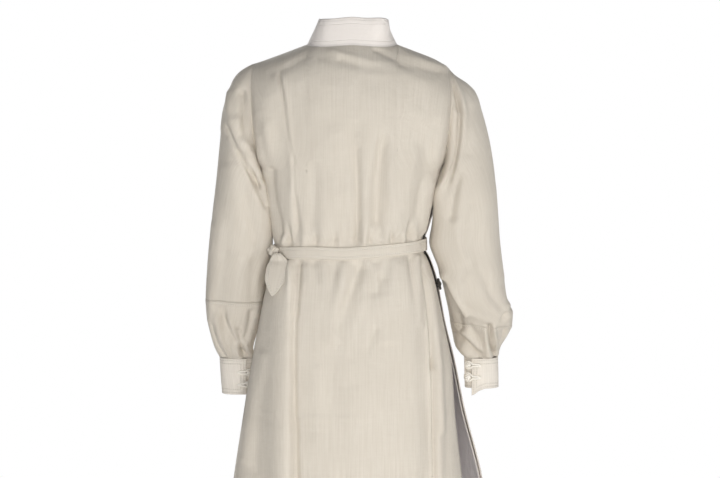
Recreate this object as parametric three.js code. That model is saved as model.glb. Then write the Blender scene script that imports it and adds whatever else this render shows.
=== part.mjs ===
// A Taoist robe as it hangs when worn: crossed collar, left front lapped over the right, piece-lengthened
// sleeves gathered into buttoned cuffs, and a narrow sash knotted at the wearer's left side.
// Millimetres, +Z up. The robe faces -Y and the wearer's left is +X. The origin is the middle of the neck
// opening, level with the back neck seam, where neck and shoulders hold the robe up.
import * as THREE from "three";

// Driving dimensions
const clothWall = 1.6; // robe cloth, one layer
const bandWall = 2.4; // collar, cuffs and sash, sewn double
const seamGap = 0.3; // between two pieces along a seam
const hemZ = -1300; // back neck seam to hem
const armpitZ = -232;
const coreHalf = 128; // half width of the straight-hanging middle of each sheet
const coreRound = 2.5; // squareness of the torso's level sections, 2 is an ellipse
const flareBias = 2.2; // how far out towards the side seams the flare is kept
const neckHalf = 85;
const neckRound = 2.6;
const neckDepth = 62; // from the shoulder ridge back to the neck seam
const tipHalf = 188; // shoulder tip, where the sleeve begins
const shoulderDrop = 38;
const ridgeY = -4; // the shoulder ridge lies a little in front of the origin
const lapLift = 5.2; // outer front over inner front
const collarWidth = 54;
const sashZ = -387;
const sashHeight = 23;
const sashSlope = -0.072; // the sash rides up towards the wearer's right
const sashGrip = 95; // how far up and down the cloth tilts with the sash

const v3 = (x, y, z) => new THREE.Vector3(x, y, z);
const clamp01 = (t) => Math.min(1, Math.max(0, t));
const mix = (a, b, t) => a + (b - a) * t;
const smooth = (a, b, t) => {
  const s = clamp01((t - a) / (b - a));
  return s * s * (3 - 2 * s);
};
const radians = (degrees) => (degrees * Math.PI) / 180;
const stepsFrom = (a, b, count) => Array.from({ length: count + 1 }, (_, i) => mix(a, b, i / count));

// Rows of numbers under named columns.
const table = (names, ...rows) =>
  rows.map((row) => Object.fromEntries(names.map((name, i) => [name, row[i]])));

// A smooth value of one column of a table whose rows are ordered by key. It never swings past the rows.
function columnAt(rows, key, at, name) {
  const last = rows.length - 1;
  const rising = rows[last][key] > rows[0][key] ? 1 : -1;
  let i = 0;
  while (i < last - 1 && (at - rows[i + 1][key]) * rising > 0) i++;
  const span = rows[i + 1][key] - rows[i][key];
  const t = clamp01((at - rows[i][key]) / span);
  const rate = (j) => (rows[j + 1][name] - rows[j][name]) / (rows[j + 1][key] - rows[j][key]);
  const slope = (j) => {
    const before = rate(Math.max(0, j - 1));
    const after = rate(Math.min(last - 1, j));
    return before * after > 0 ? ((2 * before * after) / (before + after)) * span : 0;
  };
  const t2 = t * t;
  const t3 = t2 * t;
  return (
    (2 * t3 - 3 * t2 + 1) * rows[i][name] +
    (t3 - 2 * t2 + t) * slope(i) +
    (3 * t2 - 2 * t3) * rows[i + 1][name] +
    (t3 - t2) * slope(i + 1)
  );
}

// Level sections of the robe from the hem to the armpits: half widths of the back and front sheets at the
// wearer's left and right, the Y of their middles, and the Y of their side edges.
const bodyRows = table(
  ["z", "backLeft", "backRight", "frontLeft", "frontRight", "back", "front", "backSide", "frontSide"],
  [hemZ, 290, 262, 258, 326, 176, -196, 46, -6],
  [-1100, 262, 240, 236, 288, 165, -180, 42, -4],
  [-823, 226, 210, 199, 244, 149, -158, 38, 0],
  [-700, 207, 196, 178, 212, 141, -147, 34, 2],
  [-600, 191, 189, 169, 191, 134, -139, 30, 6],
  [-530, 178, 175, 168, 173, 128, -132, 24, 12],
  [-450, 162, 156, 162, 156, 117, -122, 16, 16],
  [-412, 151, 142, 151, 142, 105, -112, 10, 10],
  [-400, 147, 135, 147, 135, 100, -107, 8, 8],
  [-374, 147, 134, 147, 134, 100, -107, 6, 6],
  [-360, 151, 139, 151, 139, 107, -113, 5, 5],
  [-336, 156, 146, 156, 146, 112, -118, 4, 4],
  [-290, 166, 157, 166, 157, 115, -123, 2, 2],
  [armpitZ, 176, 171, 176, 171, 117, -127, 0, 0],
);

// Half width of a sheet at across (0 middle, 1 side edge), with its flare kept towards the edge.
const spreadTo = (across, edge) =>
  coreHalf * Math.sin((across * Math.PI) / 2) ** (2 / coreRound) + (edge - coreHalf) * across ** flareBias;

// Sheets: side is 1 for the back and -1 for the front, u runs from -1 (wearer's right) to 1 (left).
function levelPoint(side, u, h) {
  const sheet = side > 0 ? "back" : "front";
  const edge = columnAt(bodyRows, "z", h, sheet + (u >= 0 ? "Left" : "Right"));
  const sideY = columnAt(bodyRows, "z", h, sheet + "Side");
  const middle = columnAt(bodyRows, "z", h, sheet);
  const half = spreadTo(Math.abs(u), edge);
  const turnIn = mix(0.8, 1 / coreRound, smooth(hemZ, -430, h)); // the skirt's sides are less square
  const y = sideY + (middle - sideY) * (1 - clamp01(half / edge) ** coreRound) ** turnIn;
  const x = Math.sign(u) * half;
  return v3(x, y, h + sashSlope * x * Math.exp(-(((h - sashZ) / sashGrip) ** 2)));
}

// The shoulder ridges, carried on across the neck opening as if the cloth covered it.
const crown = 20;
const crownRound = 1.65;
function ridgePoint(u) {
  const half = spreadTo(Math.abs(u), tipHalf);
  const out = (half - neckHalf) / (tipHalf - neckHalf);
  const z = out > 0 ? -shoulderDrop * out : crown * (1 - (half / neckHalf) ** crownRound);
  return v3(Math.sign(u) * half, ridgeY * (1 - clamp01(out)), z);
}

function hermite(a, pullA, b, pullB, t) {
  const t2 = t * t;
  const t3 = t2 * t;
  return v3(0, 0, 0)
    .addScaledVector(a, 2 * t3 - 3 * t2 + 1)
    .addScaledVector(pullA, t3 - 2 * t2 + t)
    .addScaledVector(b, 3 * t2 - 2 * t3)
    .addScaledVector(pullB, t3 - t2);
}

// Above the armpits a sheet runs up from the armpit section and over to the ridge, h going on from
// armpitZ to 0. Its side edges there are the armhole, bowed backwards or forwards and a little sideways.
const upperPulls = {
  back: { lean: 42, rise: 500, over: 260, up: 20 },
  front: { lean: 22, rise: 420, over: 235, up: 20 },
};
const armhole = { bow: 250, bulge: 20, reach: 0.5 };
function sheetPoint(side, u, h) {
  if (h <= armpitZ) return levelPoint(side, u, h);
  const pull = side > 0 ? upperPulls.back : upperPulls.front;
  const sign = Math.sign(u);
  const atArmhole = smooth(armhole.reach, 1, Math.abs(u)) ** 1.5;
  const start = v3(0, side * pull.lean, pull.rise).lerp(
    v3(sign * armhole.bulge, side * armhole.bow, 0),
    atArmhole,
  );
  const end = v3(0, -side * pull.over, pull.up).lerp(
    v3(-sign * armhole.bulge, -side * armhole.bow, 0),
    atArmhole,
  );
  return hermite(levelPoint(side, u, armpitZ), start, ridgePoint(u), end, 1 - h / armpitZ);
}

// Folds are straight lines seen from the back or the front. Each stands out (or sinks in, where lift is
// negative) by lift0 at its upper end and lift1 at its lower one, and fades over the widths plus and minus
// towards +X and -X of the line. Ends fade out over fadeLength, but not at the hem.
const fadeLength = 34;
const backFolds = table(
  ["name", "x0", "z0", "x1", "z1", "lift0", "lift1", "plus", "minus"],
  ["left pleat", 122, -408, 128, hemZ, 5, 13, 26, 14],
  ["left valley", 146, -430, 172, hemZ, -2, -15, 20, 20],
  ["right crease", -127, -380, -172, hemZ, -6, -10, 14, 10],
  ["right pleat", -146, -430, -205, hemZ, 2, 9, 18, 22],
  ["middle swag", -9, -425, 24, -560, -5, -1, 17, 20],
  ["lower middle", -30, -620, -44, hemZ, 0, -14, 34, 30],
  ["lower left", 46, -700, 52, hemZ, 0, 12, 30, 34],
  ["lower right", -95, -640, -112, hemZ, 0, 13, 26, 28],
  ["far left", 196, -700, 232, hemZ, 2, 15, 24, 24],
  ["sash gather 1", 101, -300, 104, -372, -1, -6, 10, 10],
  ["sash gather 2", 52, -318, 50, -372, 0, 5, 13, 11],
  ["sash gather 3", 8, -320, 4, -372, 0, -4, 12, 12],
  ["sash gather 4", -57, -180, -46, -372, -3, -5, 13, 14],
  ["sash gather 5", -90, -250, -84, -370, 1, 6, 14, 12],
  ["skirt gather 1", 84, -406, 80, -450, 4, 0, 12, 12],
  ["skirt gather 2", 30, -406, 40, -470, -5, 0, 10, 10],
  ["skirt gather 3", -64, -402, -58, -480, -4, 0, 11, 11],
  ["skirt gather 4", -92, -400, -100, -520, 4, 0, 12, 14],
  ["sewn tuck", 121, -92, 107, -260, 2.4, 2.4, 9, 6],
);
const frontFolds = table(
  ["name", "x0", "z0", "x1", "z1", "lift0", "lift1", "plus", "minus"],
  ["left fall", 96, -408, 118, hemZ, 3, 14, 26, 24],
  ["left hollow", 52, -410, 60, hemZ, -2, -13, 24, 24],
  ["middle fall", -6, -430, -4, hemZ, 1, 11, 30, 30],
  ["right hollow", -68, -410, -78, hemZ, -2, -13, 26, 26],
  ["right fall", -112, -420, -150, hemZ, 1, 14, 28, 30],
  ["far right hollow", -150, -560, -222, hemZ, 0, -12, 26, 28],
  ["chest gather left", 70, -280, 74, -372, 0, 5, 14, 14],
  ["chest gather middle", 14, -300, 12, -372, 0, -4, 14, 14],
);

// How far a set of folds moves a point seen at x, z.
function foldLift(folds, x, z) {
  let lift = 0;
  for (const f of folds) {
    const dx = f.x1 - f.x0;
    const dz = f.z1 - f.z0;
    const long = Math.hypot(dx, dz);
    const along = ((x - f.x0) * dx + (z - f.z0) * dz) / long;
    const beside = ((x - f.x0) * -dz + (z - f.z0) * dx) / long;
    const width = beside > 0 ? f.plus : f.minus;
    const lowerEnd = f.z1 <= hemZ ? 1 : 1 - smooth(long, long + fadeLength, along);
    const ends = smooth(-fadeLength, 0, along) * lowerEnd;
    lift += mix(f.lift0, f.lift1, clamp01(along / long)) * Math.exp(-((beside / width) ** 2)) * ends;
  }
  return lift;
}

// The sash presses the folds flat where it passes, and they fade out at the shoulders and side edges.
const clearOfSash = (x, z) => smooth(4, 20, Math.abs(z - sashZ - sashSlope * x) - sashHeight / 2);
function outwardAt(side, u, h) {
  const du = sheetPoint(side, Math.min(1, u + 0.004), h).sub(sheetPoint(side, Math.max(-1, u - 0.004), h));
  const dh = sheetPoint(side, u, Math.min(-0.5, h + 2)).sub(sheetPoint(side, u, Math.max(hemZ, h - 2)));
  return du.cross(dh).normalize().multiplyScalar(-side);
}
function clothPoint(side, u, h, lift = 0) {
  const p = sheetPoint(side, u, h);
  const facing = (1 - Math.abs(u) ** 6) ** 0.5 * smooth(-20, -70, p.z);
  const deep = foldLift(side > 0 ? backFolds : frontFolds, p.x, p.z) * facing * clearOfSash(p.x, p.z);
  return p.addScaledVector(outwardAt(side, u, h), lift).add(v3(0, side * deep, 0));
}

// The outer front lies lapLift out from the inner one, but meets the back at the left seam and shoulder.
const overLift = (u, h) => lapLift * (1 - smooth(0.7, 1, u)) * (1 - smooth(-80, -5, h));
const noLift = () => 0;

// Finds the value between low and high at which reached becomes true.
function bisect(low, high, reached) {
  let from = low;
  let to = high;
  for (let i = 0; i < 26; i++) {
    const middle = (from + to) / 2;
    if (reached(middle)) to = middle;
    else from = middle;
  }
  return to;
}
const neckU = bisect(0, 1, (u) => spreadTo(u, tipHalf) >= neckHalf);
const pastNeck = (u) => u >= neckU - 1e-6;

// Where a column of the back ends at the neck seam.
function backTop(u) {
  if (pastNeck(Math.abs(u))) return 0;
  return bisect(armpitZ, 0, (h) => {
    const p = sheetPoint(1, u, h);
    const reach = (1 - clamp01(Math.abs(p.x) / neckHalf) ** neckRound) ** (1 / neckRound);
    return p.y - ridgeY <= neckDepth * reach;
  });
}

// Each front is cut off along the collar, which crosses from its neck point to the other side seam. Hand
// is 1 for the wearer's left front and -1 for the right one.
const lapCut = { run: 250, drop: 316, bend: 0.82 };
function frontTop(u, hand) {
  if (pastNeck(u * hand)) return 0;
  return bisect(-340, 0, (h) => {
    const p = sheetPoint(-1, u, h);
    return p.z >= -lapCut.drop * clamp01((neckHalf - p.x * hand) / lapCut.run) ** lapCut.bend;
  });
}

// Level cuts through the sheets. Above the armpits they meet the sleeve's lengthwise lines, and where a
// front is cut off lower they draw together above lapFrom.
const armholeSteps = 10;
const lapFrom = -345;
const levels = [
  ...[hemZ, -1190, -1060, -940, -823, -720, -630, -560, -505, -450, -418, -400, -374, -360, lapFrom, -285],
  ...stepsFrom(0, Math.PI, armholeSteps).map((turn) => (armpitZ * (1 + Math.cos(turn))) / 2),
];
const levelBelow = (level, top) =>
  level <= lapFrom ? level : lapFrom + ((level - lapFrom) * (top - lapFrom)) / -lapFrom;
const leftColumns = stepsFrom(neckU, 1, 9).slice(1);
const rightColumns = leftColumns.map((u) => -u).reverse();
const neckSide = [0.66, 0.81, 0.9, 0.96, 1].map((share) => share * neckU); // the neckline turns sharply here
const neckMiddle = stepsFrom(-neckSide[0], neckSide[0], 5);
const neckColumns = [...neckSide.slice(1).map((u) => -u).reverse(), ...neckMiddle, ...neckSide.slice(1)];
const lapColumns = [...stepsFrom(-1, neckSide[0], 13), ...neckSide.slice(1)];
const underColumns = [...neckSide.map((u) => -u).reverse(), ...stepsFrom(-neckSide[0], 0.26, 5).slice(1)];

// Normals of a grid of points. A closed grid joins each row's last point to its first.
function gridNormals(grid, closed) {
  const rows = grid.length;
  const columns = grid[0].length;
  return grid.map((row, i) =>
    row.map((_, j) => {
      const next = closed ? row[(j + 1) % columns] : row[Math.min(columns - 1, j + 1)];
      const before = closed ? row[(j + columns - 1) % columns] : row[Math.max(0, j - 1)];
      const up = grid[Math.min(rows - 1, i + 1)][j];
      const down = grid[Math.max(0, i - 1)][j];
      return next.clone().sub(before).cross(up.clone().sub(down)).normalize();
    }),
  );
}

function closedSolid(points, faces) {
  const volume = faces.reduce(
    (sum, [a, b, c]) => sum + points[a].dot(points[b].clone().cross(points[c])),
    0,
  );
  const geometry = new THREE.BufferGeometry().setFromPoints(points);
  geometry.setIndex(faces.flatMap(([a, b, c]) => (volume > 0 ? [a, b, c] : [a, c, b])));
  return geometry;
}

// A grid of outer points becomes a wall: its inner points are set in against outward, 1 or -1 times the
// grid's own normals, and its rims are closed. Where seamInward(i, j) gives a direction, the point there is
// set in along it instead, so that two pieces at a seam stay parallel.
function wallGeometry(grid, { wall, outward, closed = false, seamInward = () => null }) {
  const normals = gridNormals(grid, closed);
  const columns = grid[0].length;
  const top = grid.length - 1;
  const inner = grid.length * columns;
  const insidePoint = (p, i, j) =>
    p.clone().addScaledVector(seamInward(i, j) ?? normals[i][j].clone().multiplyScalar(-outward), wall);
  const points = [...grid.flat(), ...grid.flatMap((row, i) => row.map((p, j) => insidePoint(p, i, j)))];
  const faces = [];
  const quad = (a, b, c, d) => {
    const [p, q, r, t] = [a, b, c, d].map((index) => points[index % inner]);
    if (p.distanceTo(r) <= q.distanceTo(t)) faces.push([a, b, c], [a, c, d]);
    else faces.push([b, c, d], [b, d, a]);
  };
  const at = (i, j) => i * columns + (j % columns);
  const strips = closed ? columns : columns - 1;
  for (let i = 0; i < top; i++)
    for (let j = 0; j < strips; j++) {
      quad(at(i, j), at(i, j + 1), at(i + 1, j + 1), at(i + 1, j));
      quad(inner + at(i, j), inner + at(i + 1, j), inner + at(i + 1, j + 1), inner + at(i, j + 1));
    }
  for (let j = 0; j < strips; j++) {
    quad(at(0, j), inner + at(0, j), inner + at(0, j + 1), at(0, j + 1));
    quad(at(top, j), at(top, j + 1), inner + at(top, j + 1), inner + at(top, j));
  }
  for (let i = 0; i < top && !closed; i++) {
    const end = columns - 1;
    quad(at(i, 0), at(i + 1, 0), inner + at(i + 1, 0), inner + at(i, 0));
    quad(at(i, end), inner + at(i, end), inner + at(i + 1, end), at(i + 1, end));
  }
  return closedSolid(points, faces);
}

// Draws the named edges of a grid in along the cloth, so that pieces stay a seam's gap apart.
function trimmed(grid, edges) {
  const pull = (p, towards) => p.add(towards.clone().sub(p).normalize().multiplyScalar(seamGap / 2));
  const last = grid.length - 1;
  const end = grid[0].length - 1;
  if (edges.includes("first")) grid[0].forEach((p, j) => pull(p, grid[1][j]));
  if (edges.includes("last")) grid[last].forEach((p, j) => pull(p, grid[last - 1][j]));
  if (edges.includes("start")) grid.forEach((row) => pull(row[0], row[1]));
  if (edges.includes("end")) grid.forEach((row) => pull(row[end], row[end - 1]));
  return grid;
}

const linen = (color) => new THREE.MeshStandardMaterial({ color, roughness: 0.9, metalness: 0 });
const robeCloth = linen(0xdad1c2);
const collarCloth = linen(0xefe8e0);
const cuffCord = linen(0xe6dfd2);
const sideCord = linen(0x38322c);

const robe = new THREE.Group();
function addPiece(name, geometry, material) {
  const piece = new THREE.Mesh(geometry, material);
  piece.name = name;
  robe.add(piece);
}

// Back and fronts
function sheetGrid(side, columns, top, lift) {
  const tops = columns.map(top);
  return levels.map((level) =>
    columns.map((u, j) => {
      const h = levelBelow(level, tops[j]);
      return clothPoint(side, u, h, lift(u, h));
    }),
  );
}
function ridgeInward(u) {
  return outwardAt(1, u, -1).add(outwardAt(-1, u, -1)).normalize().negate();
}
function sheetSeams(side, columns, hand) {
  const last = levels.length - 1;
  return (i, j) => {
    const u = columns[j];
    if (Math.abs(u) === 1 && u * hand >= 0) {
      if (levels[i] <= armpitZ) return v3(-u, 0, 0);
      const turn = (Math.acos(1 - (2 * levels[i]) / armpitZ) * 180) / Math.PI;
      return armholeInward(u > 0 ? "left" : "right", side > 0 ? turn : 360 - turn);
    }
    if (i < last) return null;
    return pastNeck(Math.abs(u) - 1e-5) && u * hand >= 0 ? ridgeInward(u) : neckInward(side, u, hand);
  };
}
const backColumns = [...rightColumns, ...neckColumns, ...leftColumns];
const leftTop = (u) => frontTop(u, 1);
const rightTop = (u) => frontTop(u, -1);
const sheets = table(
  ["name", "side", "hand", "columns", "top", "lift"],
  ["back_panel", 1, 0, backColumns, backTop, noLift],
  ["front_overlap", -1, 1, [...lapColumns, ...leftColumns], leftTop, overLift],
  ["front_underlap", -1, -1, [...rightColumns, ...underColumns], rightTop, noLift],
);
function addSheets() {
  const sewn = { 0: "start end last", 1: "end last", "-1": "start last" };
  for (const { name, side, hand, columns, top, lift } of sheets) {
    const grid = trimmed(sheetGrid(side, columns, top, lift), sewn[hand]);
    const cloth = { wall: clothWall, outward: -side, seamInward: sheetSeams(side, columns, hand) };
    addPiece(name, wallGeometry(grid, cloth), robeCloth);
  }
}

// Collar: one band that stands around the back of the neck and, from each neck point down, turns over
// within collarTurn to lie on the crossed fronts.
const collarTurn = 120;
const collarStrips = 3;
const collarLean = { back: 0.18, side: 0.46 };
const acrossFront = { x: -0.784, z: 0.62 }; // square to the left front's cut edge, towards the neck
const collarEnd = { u: -0.96, x: -158, least: 8 }; // where it is cut off along the right side seam
function frontAt(x, z, lift) {
  let u = 0;
  let h = armpitZ;
  for (let i = 0; i < 5; i++) {
    u = bisect(-1, 1, (t) => sheetPoint(-1, t, h).x >= x);
    h = bisect(-600, 0, (t) => sheetPoint(-1, u, t).z >= z);
  }
  return clothPoint(-1, u, h, lift(u, h));
}
function collarStation(side, u, top, lift, hand) {
  const base = clothPoint(side, u, top, lift(u, top));
  const inward = v3(-base.x, -base.y, 0).normalize();
  const sideways = clamp01(Math.abs(base.x) / neckHalf) ** 2;
  const lean = side > 0 ? mix(collarLean.back, collarLean.side, sideways) : collarLean.side;
  const stand = inward.multiplyScalar(Math.sin(lean)).add(v3(0, 0, Math.cos(lean)));
  const lying = side > 0 ? 0 : smooth(0, collarTurn, -base.z);
  const room = hand > 0 ? (collarEnd.x - base.x) / acrossFront.x : collarWidth;
  const width = Math.max(collarEnd.least, Math.min(collarWidth, room));
  return stepsFrom(0, width, collarStrips).map((across) => {
    const standing = base.clone().addScaledVector(stand, across);
    if (lying === 0) return standing;
    return standing.lerp(
      frontAt(base.x + hand * acrossFront.x * across, base.z + acrossFront.z * across, lift),
      lying,
    );
  });
}
function neckStation(side, u, hand) {
  if (side > 0) return collarStation(1, u, backTop(u), noLift, 0);
  return collarStation(-1, u, frontTop(u, hand), hand > 0 ? overLift : noLift, hand);
}
function neckInward(side, u, hand) {
  const atPoint = pastNeck(Math.abs(u) + 1e-6);
  const [base, next] = neckStation(side, u, hand);
  const along = atPoint ? v3(0, 1, 0) : neckStation(side, u + 0.01, hand)[0].sub(base);
  const panelOut = outwardAt(atPoint ? 1 : side, u, side > 0 ? backTop(u) : frontTop(u, hand));
  const bandOut = next.sub(base).cross(along).normalize();
  if (bandOut.dot(panelOut) < 0) bandOut.negate();
  return panelOut.add(bandOut).normalize().negate();
}
function addCollar() {
  const stations = [
    ...lapColumns.map((u) => [-1, Math.max(collarEnd.u, u), 1]),
    ...neckColumns.slice(1, -1).reverse().map((u) => [1, u, 0]),
    ...underColumns.map((u) => [-1, u, -1]),
  ];
  const grid = stations.map(([side, u, hand]) => neckStation(side, u, hand));
  const seamInward = (i, j) => (j === 0 ? neckInward(...stations[i]) : null);
  addPiece(
    "collar_band",
    wallGeometry(trimmed(grid, "start"), { wall: bandWall, outward: -1, seamInward }),
    collarCloth,
  );
}

// Sleeves: rings that tip over from the armhole to level. Each has its outermost and innermost X and Z, the
// Y of its middle and its half depth. Turn is 0 at the outer side, 90 at the back, 180 at the inner side.
const sleeveRings = {
  left: table(
    ["outX", "outZ", "inX", "inZ", "midY", "depth"],
    [188, -38, 176, armpitZ, 0, 62],
    [212, -54, 179.5, -240, 0, 65],
    [234, -86, 179, -249, 1, 68],
    [246, -130, 176, -263, 2, 67],
    [252, -188, 170.5, -285, 2, 63],
    [258, -250, 165, -312, 0, 59],
    [266, -315, 157, -348, -4, 56],
    [272, -372, 152.5, -386, -10, 53],
    [276.5, -430, 160, -436, -20, 51],
    [279, -484, 169.5, -488, -31, 49],
    [277, -520, 177, -522, -41, 47],
    [270, -556, 185, -556, -51, 43],
    [262, -582, 189, -582, -58, 37],
    [254, -598, 188, -598, -62, 30],
  ),
  right: table(
    ["outX", "outZ", "inX", "inZ", "midY", "depth"],
    [188, -38, 171, armpitZ, 0, 62],
    [206, -58, 175, -240, 0, 64],
    [233, -88, 175.5, -249, 0, 68],
    [249, -134, 172, -263, 0, 69],
    [263, -192, 166, -286, 0, 67],
    [272, -252, 158, -313, 0, 65],
    [277.5, -315, 152, -345, -2, 63],
    [281, -370, 147, -376, -5, 63],
    [287, -430, 163, -424, -9, 65],
    [293, -478, 173.5, -468, -14, 64],
    [305, -510, 180, -505, -26, 58],
    [304, -534, 183, -528, -38, 53],
    [296, -556, 188, -552, -50, 48],
    [285, -580, 200, -580, -60, 41],
    [279, -598, 214, -598, -66, 32],
  ),
};
for (const rings of Object.values(sleeveRings)) rings.forEach((ring, i) => (ring.down = i));
const sleeveSeam = { left: 9, right: 11 }; // ring at which the lengthening piece is sewn on
const sleeveRound = { outer: 2.2, inner: 3 }; // the inner side lies flat against the body

// The forearm bends forward below the right elbow, so the back of the sleeve hangs over a hollow there.
const sleeveFolds = {
  left: table(
    ["name", "turn", "down", "wide", "long", "lift"],
    ["armpit pinch", 128, 3.4, 16, 0.9, -7],
    ["elbow dent", 150, 8.2, 26, 0.8, -6],
    ["cuff pleat", 70, 11.4, 15, 1.6, -6],
    ["cuff pleat front", 250, 11.2, 18, 1.6, -6],
    ["forearm ridge", 38, 10.6, 15, 1.5, 5],
  ),
  right: table(
    ["name", "turn", "down", "wide", "long", "lift"],
    ["armpit pinch", 122, 3.2, 16, 1.1, -8],
    ["elbow hollow", 146, 11, 34, 1.5, -22],
    ["elbow overhang", 128, 9.1, 30, 0.9, 7],
    ["cuff pleat", 48, 12.6, 14, 1.4, -7],
    ["cuff pleat front", 252, 12.3, 18, 1.5, -6],
  ),
};

const fromSide = (value, round) => Math.sign(value) * Math.abs(value) ** (2 / round);
function ringPoint(hand, ring, turn) {
  const sign = hand === "left" ? 1 : -1;
  const c = Math.cos(radians(turn));
  const s = Math.sin(radians(turn));
  const round = c < 0 ? sleeveRound.inner : sleeveRound.outer;
  const across = fromSide(c, round);
  return v3(
    sign * ((ring.outX + ring.inX) / 2 + ((ring.outX - ring.inX) / 2) * across),
    ring.midY + ring.depth * fromSide(s, round),
    (ring.outZ + ring.inZ) / 2 + ((ring.outZ - ring.inZ) / 2) * across,
  );
}
const armpitEase = 0.5; // keeps the sleeve off the body where they part at the armpit
function armholePoint(hand, turn) {
  const side = turn <= 180 ? 1 : -1;
  const sign = hand === "left" ? 1 : -1;
  const ease = armpitEase * clamp01(-Math.cos(radians(turn))) ** 4;
  return sheetPoint(side, sign, (armpitZ * (1 - Math.cos(radians(turn)))) / 2).add(v3(sign * ease, 0, 0));
}
const armholeFade = 2.4; // rings over which the armhole's own outline gives way to the sleeve's
function sleevePoint(hand, down, turn) {
  const rings = sleeveRings[hand];
  const ring = {};
  for (const name of Object.keys(rings[0])) ring[name] = columnAt(rings, "down", down, name);
  const p = ringPoint(hand, ring, turn).lerp(armholePoint(hand, turn), 1 - smooth(0, armholeFade, down));
  const middle = ringPoint(hand, ring, 0).add(ringPoint(hand, ring, 180)).multiplyScalar(0.5);
  let lift = 0;
  for (const f of sleeveFolds[hand]) {
    const off = ((turn - f.turn) / f.wide) ** 2 + ((down - f.down) / f.long) ** 2;
    lift += f.lift * Math.exp(-off);
  }
  return p.addScaledVector(p.clone().sub(middle).normalize(), lift * smooth(0.5, 2, down));
}
const sleeveTurns = stepsFrom(0, 360, 2 * armholeSteps).slice(0, -1);
const sleeveOutward = { left: -1, right: 1 }; // which way the normals of a sleeve's grid point
function armholeInward(hand, turn) {
  const side = turn <= 180 ? 1 : -1;
  const sign = hand === "left" ? 1 : -1;
  const h = Math.min(-2, (armpitZ * (1 - Math.cos(radians(turn)))) / 2);
  const bodyOut = outwardAt(side, sign * 0.97, h);
  if (turn === 0 || turn === 180) bodyOut.add(outwardAt(-side, sign * 0.97, h)).normalize();
  const around = sleevePoint(hand, 0.4, turn + 3).sub(sleevePoint(hand, 0.4, turn - 3));
  const along = sleevePoint(hand, 0.6, turn).sub(sleevePoint(hand, 0.2, turn));
  const sleeveOut = around.cross(along).normalize().multiplyScalar(sleeveOutward[hand]);
  return bodyOut.add(sleeveOut).normalize().negate();
}
function sleeveGrid(hand, from, to, rows) {
  return stepsFrom(from, to, rows).map((down) => sleeveTurns.map((turn) => sleevePoint(hand, down, turn)));
}
function addSleeve(hand) {
  const end = sleeveRings[hand].length - 1;
  const seam = sleeveSeam[hand];
  const upper = trimmed(sleeveGrid(hand, 0, seam, seam + 2), "first last");
  const lower = trimmed(sleeveGrid(hand, seam, end, end - seam + 1), "first last");
  const middle = sleevePoint(hand, seam, 0).add(sleevePoint(hand, seam, 180)).multiplyScalar(0.5);
  const atSeam = (j) => middle.clone().sub(sleevePoint(hand, seam, sleeveTurns[j])).normalize();
  const tube = { wall: clothWall, outward: sleeveOutward[hand], closed: true };
  const upperSeams = (i, j) => {
    if (i === 0) return armholeInward(hand, sleeveTurns[j]);
    return i === upper.length - 1 ? atSeam(j) : null;
  };
  const lowerSeams = (i, j) => (i === 0 ? atSeam(j) : null);
  addPiece(`${hand}_sleeve`, wallGeometry(upper, { ...tube, seamInward: upperSeams }), robeCloth);
  addPiece(`${hand}_sleeve_extension`, wallGeometry(lower, { ...tube, seamInward: lowerSeams }), robeCloth);
}

// Cuffs: a strip wrapped from under its own flap at the back, all round and over itself again. The flap's
// free edge is at cuffFlap.edge, and its end lifts off a little, most at its lower corner.
const cuffFlap = { under: 84, edge: 118, tuck: 3.1 };
const cuffEnds = {
  left: { outX: 250, inX: 191, midY: -70, depth: 28, z: -668, flare: 1, corner: 0, loopRoom: 0.4 },
  right: { outX: 281, inX: 216, midY: -75, depth: 31, z: -657, flare: 3, corner: 13, loopRoom: 1.3 },
};
function cuffPoint(hand, turn, share, lift) {
  const top = sleeveRings[hand].at(-1);
  const end = cuffEnds[hand];
  const z = mix(top.outZ - seamGap, end.z, share);
  const ring = { outZ: z, inZ: z };
  for (const name of ["outX", "inX", "midY", "depth"]) ring[name] = mix(top[name], end[name], share);
  const p = ringPoint(hand, ring, turn);
  const before = ringPoint(hand, ring, turn - 2);
  const after = ringPoint(hand, ring, turn + 2);
  const out = after.sub(before).cross(v3(0, 0, hand === "left" ? 1 : -1)).normalize();
  return p.addScaledVector(out, lift);
}
function cuffShape(hand, turn, share) {
  const end = cuffEnds[hand];
  const under = 1 - smooth(cuffFlap.edge + 14, cuffFlap.edge + 46, turn);
  const atEdge = smooth(cuffFlap.edge + 322, cuffFlap.edge + 360, turn);
  const p = cuffPoint(hand, turn, share, end.flare * atEdge * share - cuffFlap.tuck * under);
  return p.setZ(p.z - end.corner * atEdge * share);
}
function addCuff(hand) {
  const turns = stepsFrom(cuffFlap.under, cuffFlap.edge + 360, 26);
  const grid = [0, 0.5, 1].map((share) => turns.map((turn) => cuffShape(hand, turn, share)));
  const strip = { wall: bandWall, outward: hand === "left" ? -1 : 1 };
  addPiece(`${hand}_cuff`, wallGeometry(trimmed(grid, "first"), strip), robeCloth);
}

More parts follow.
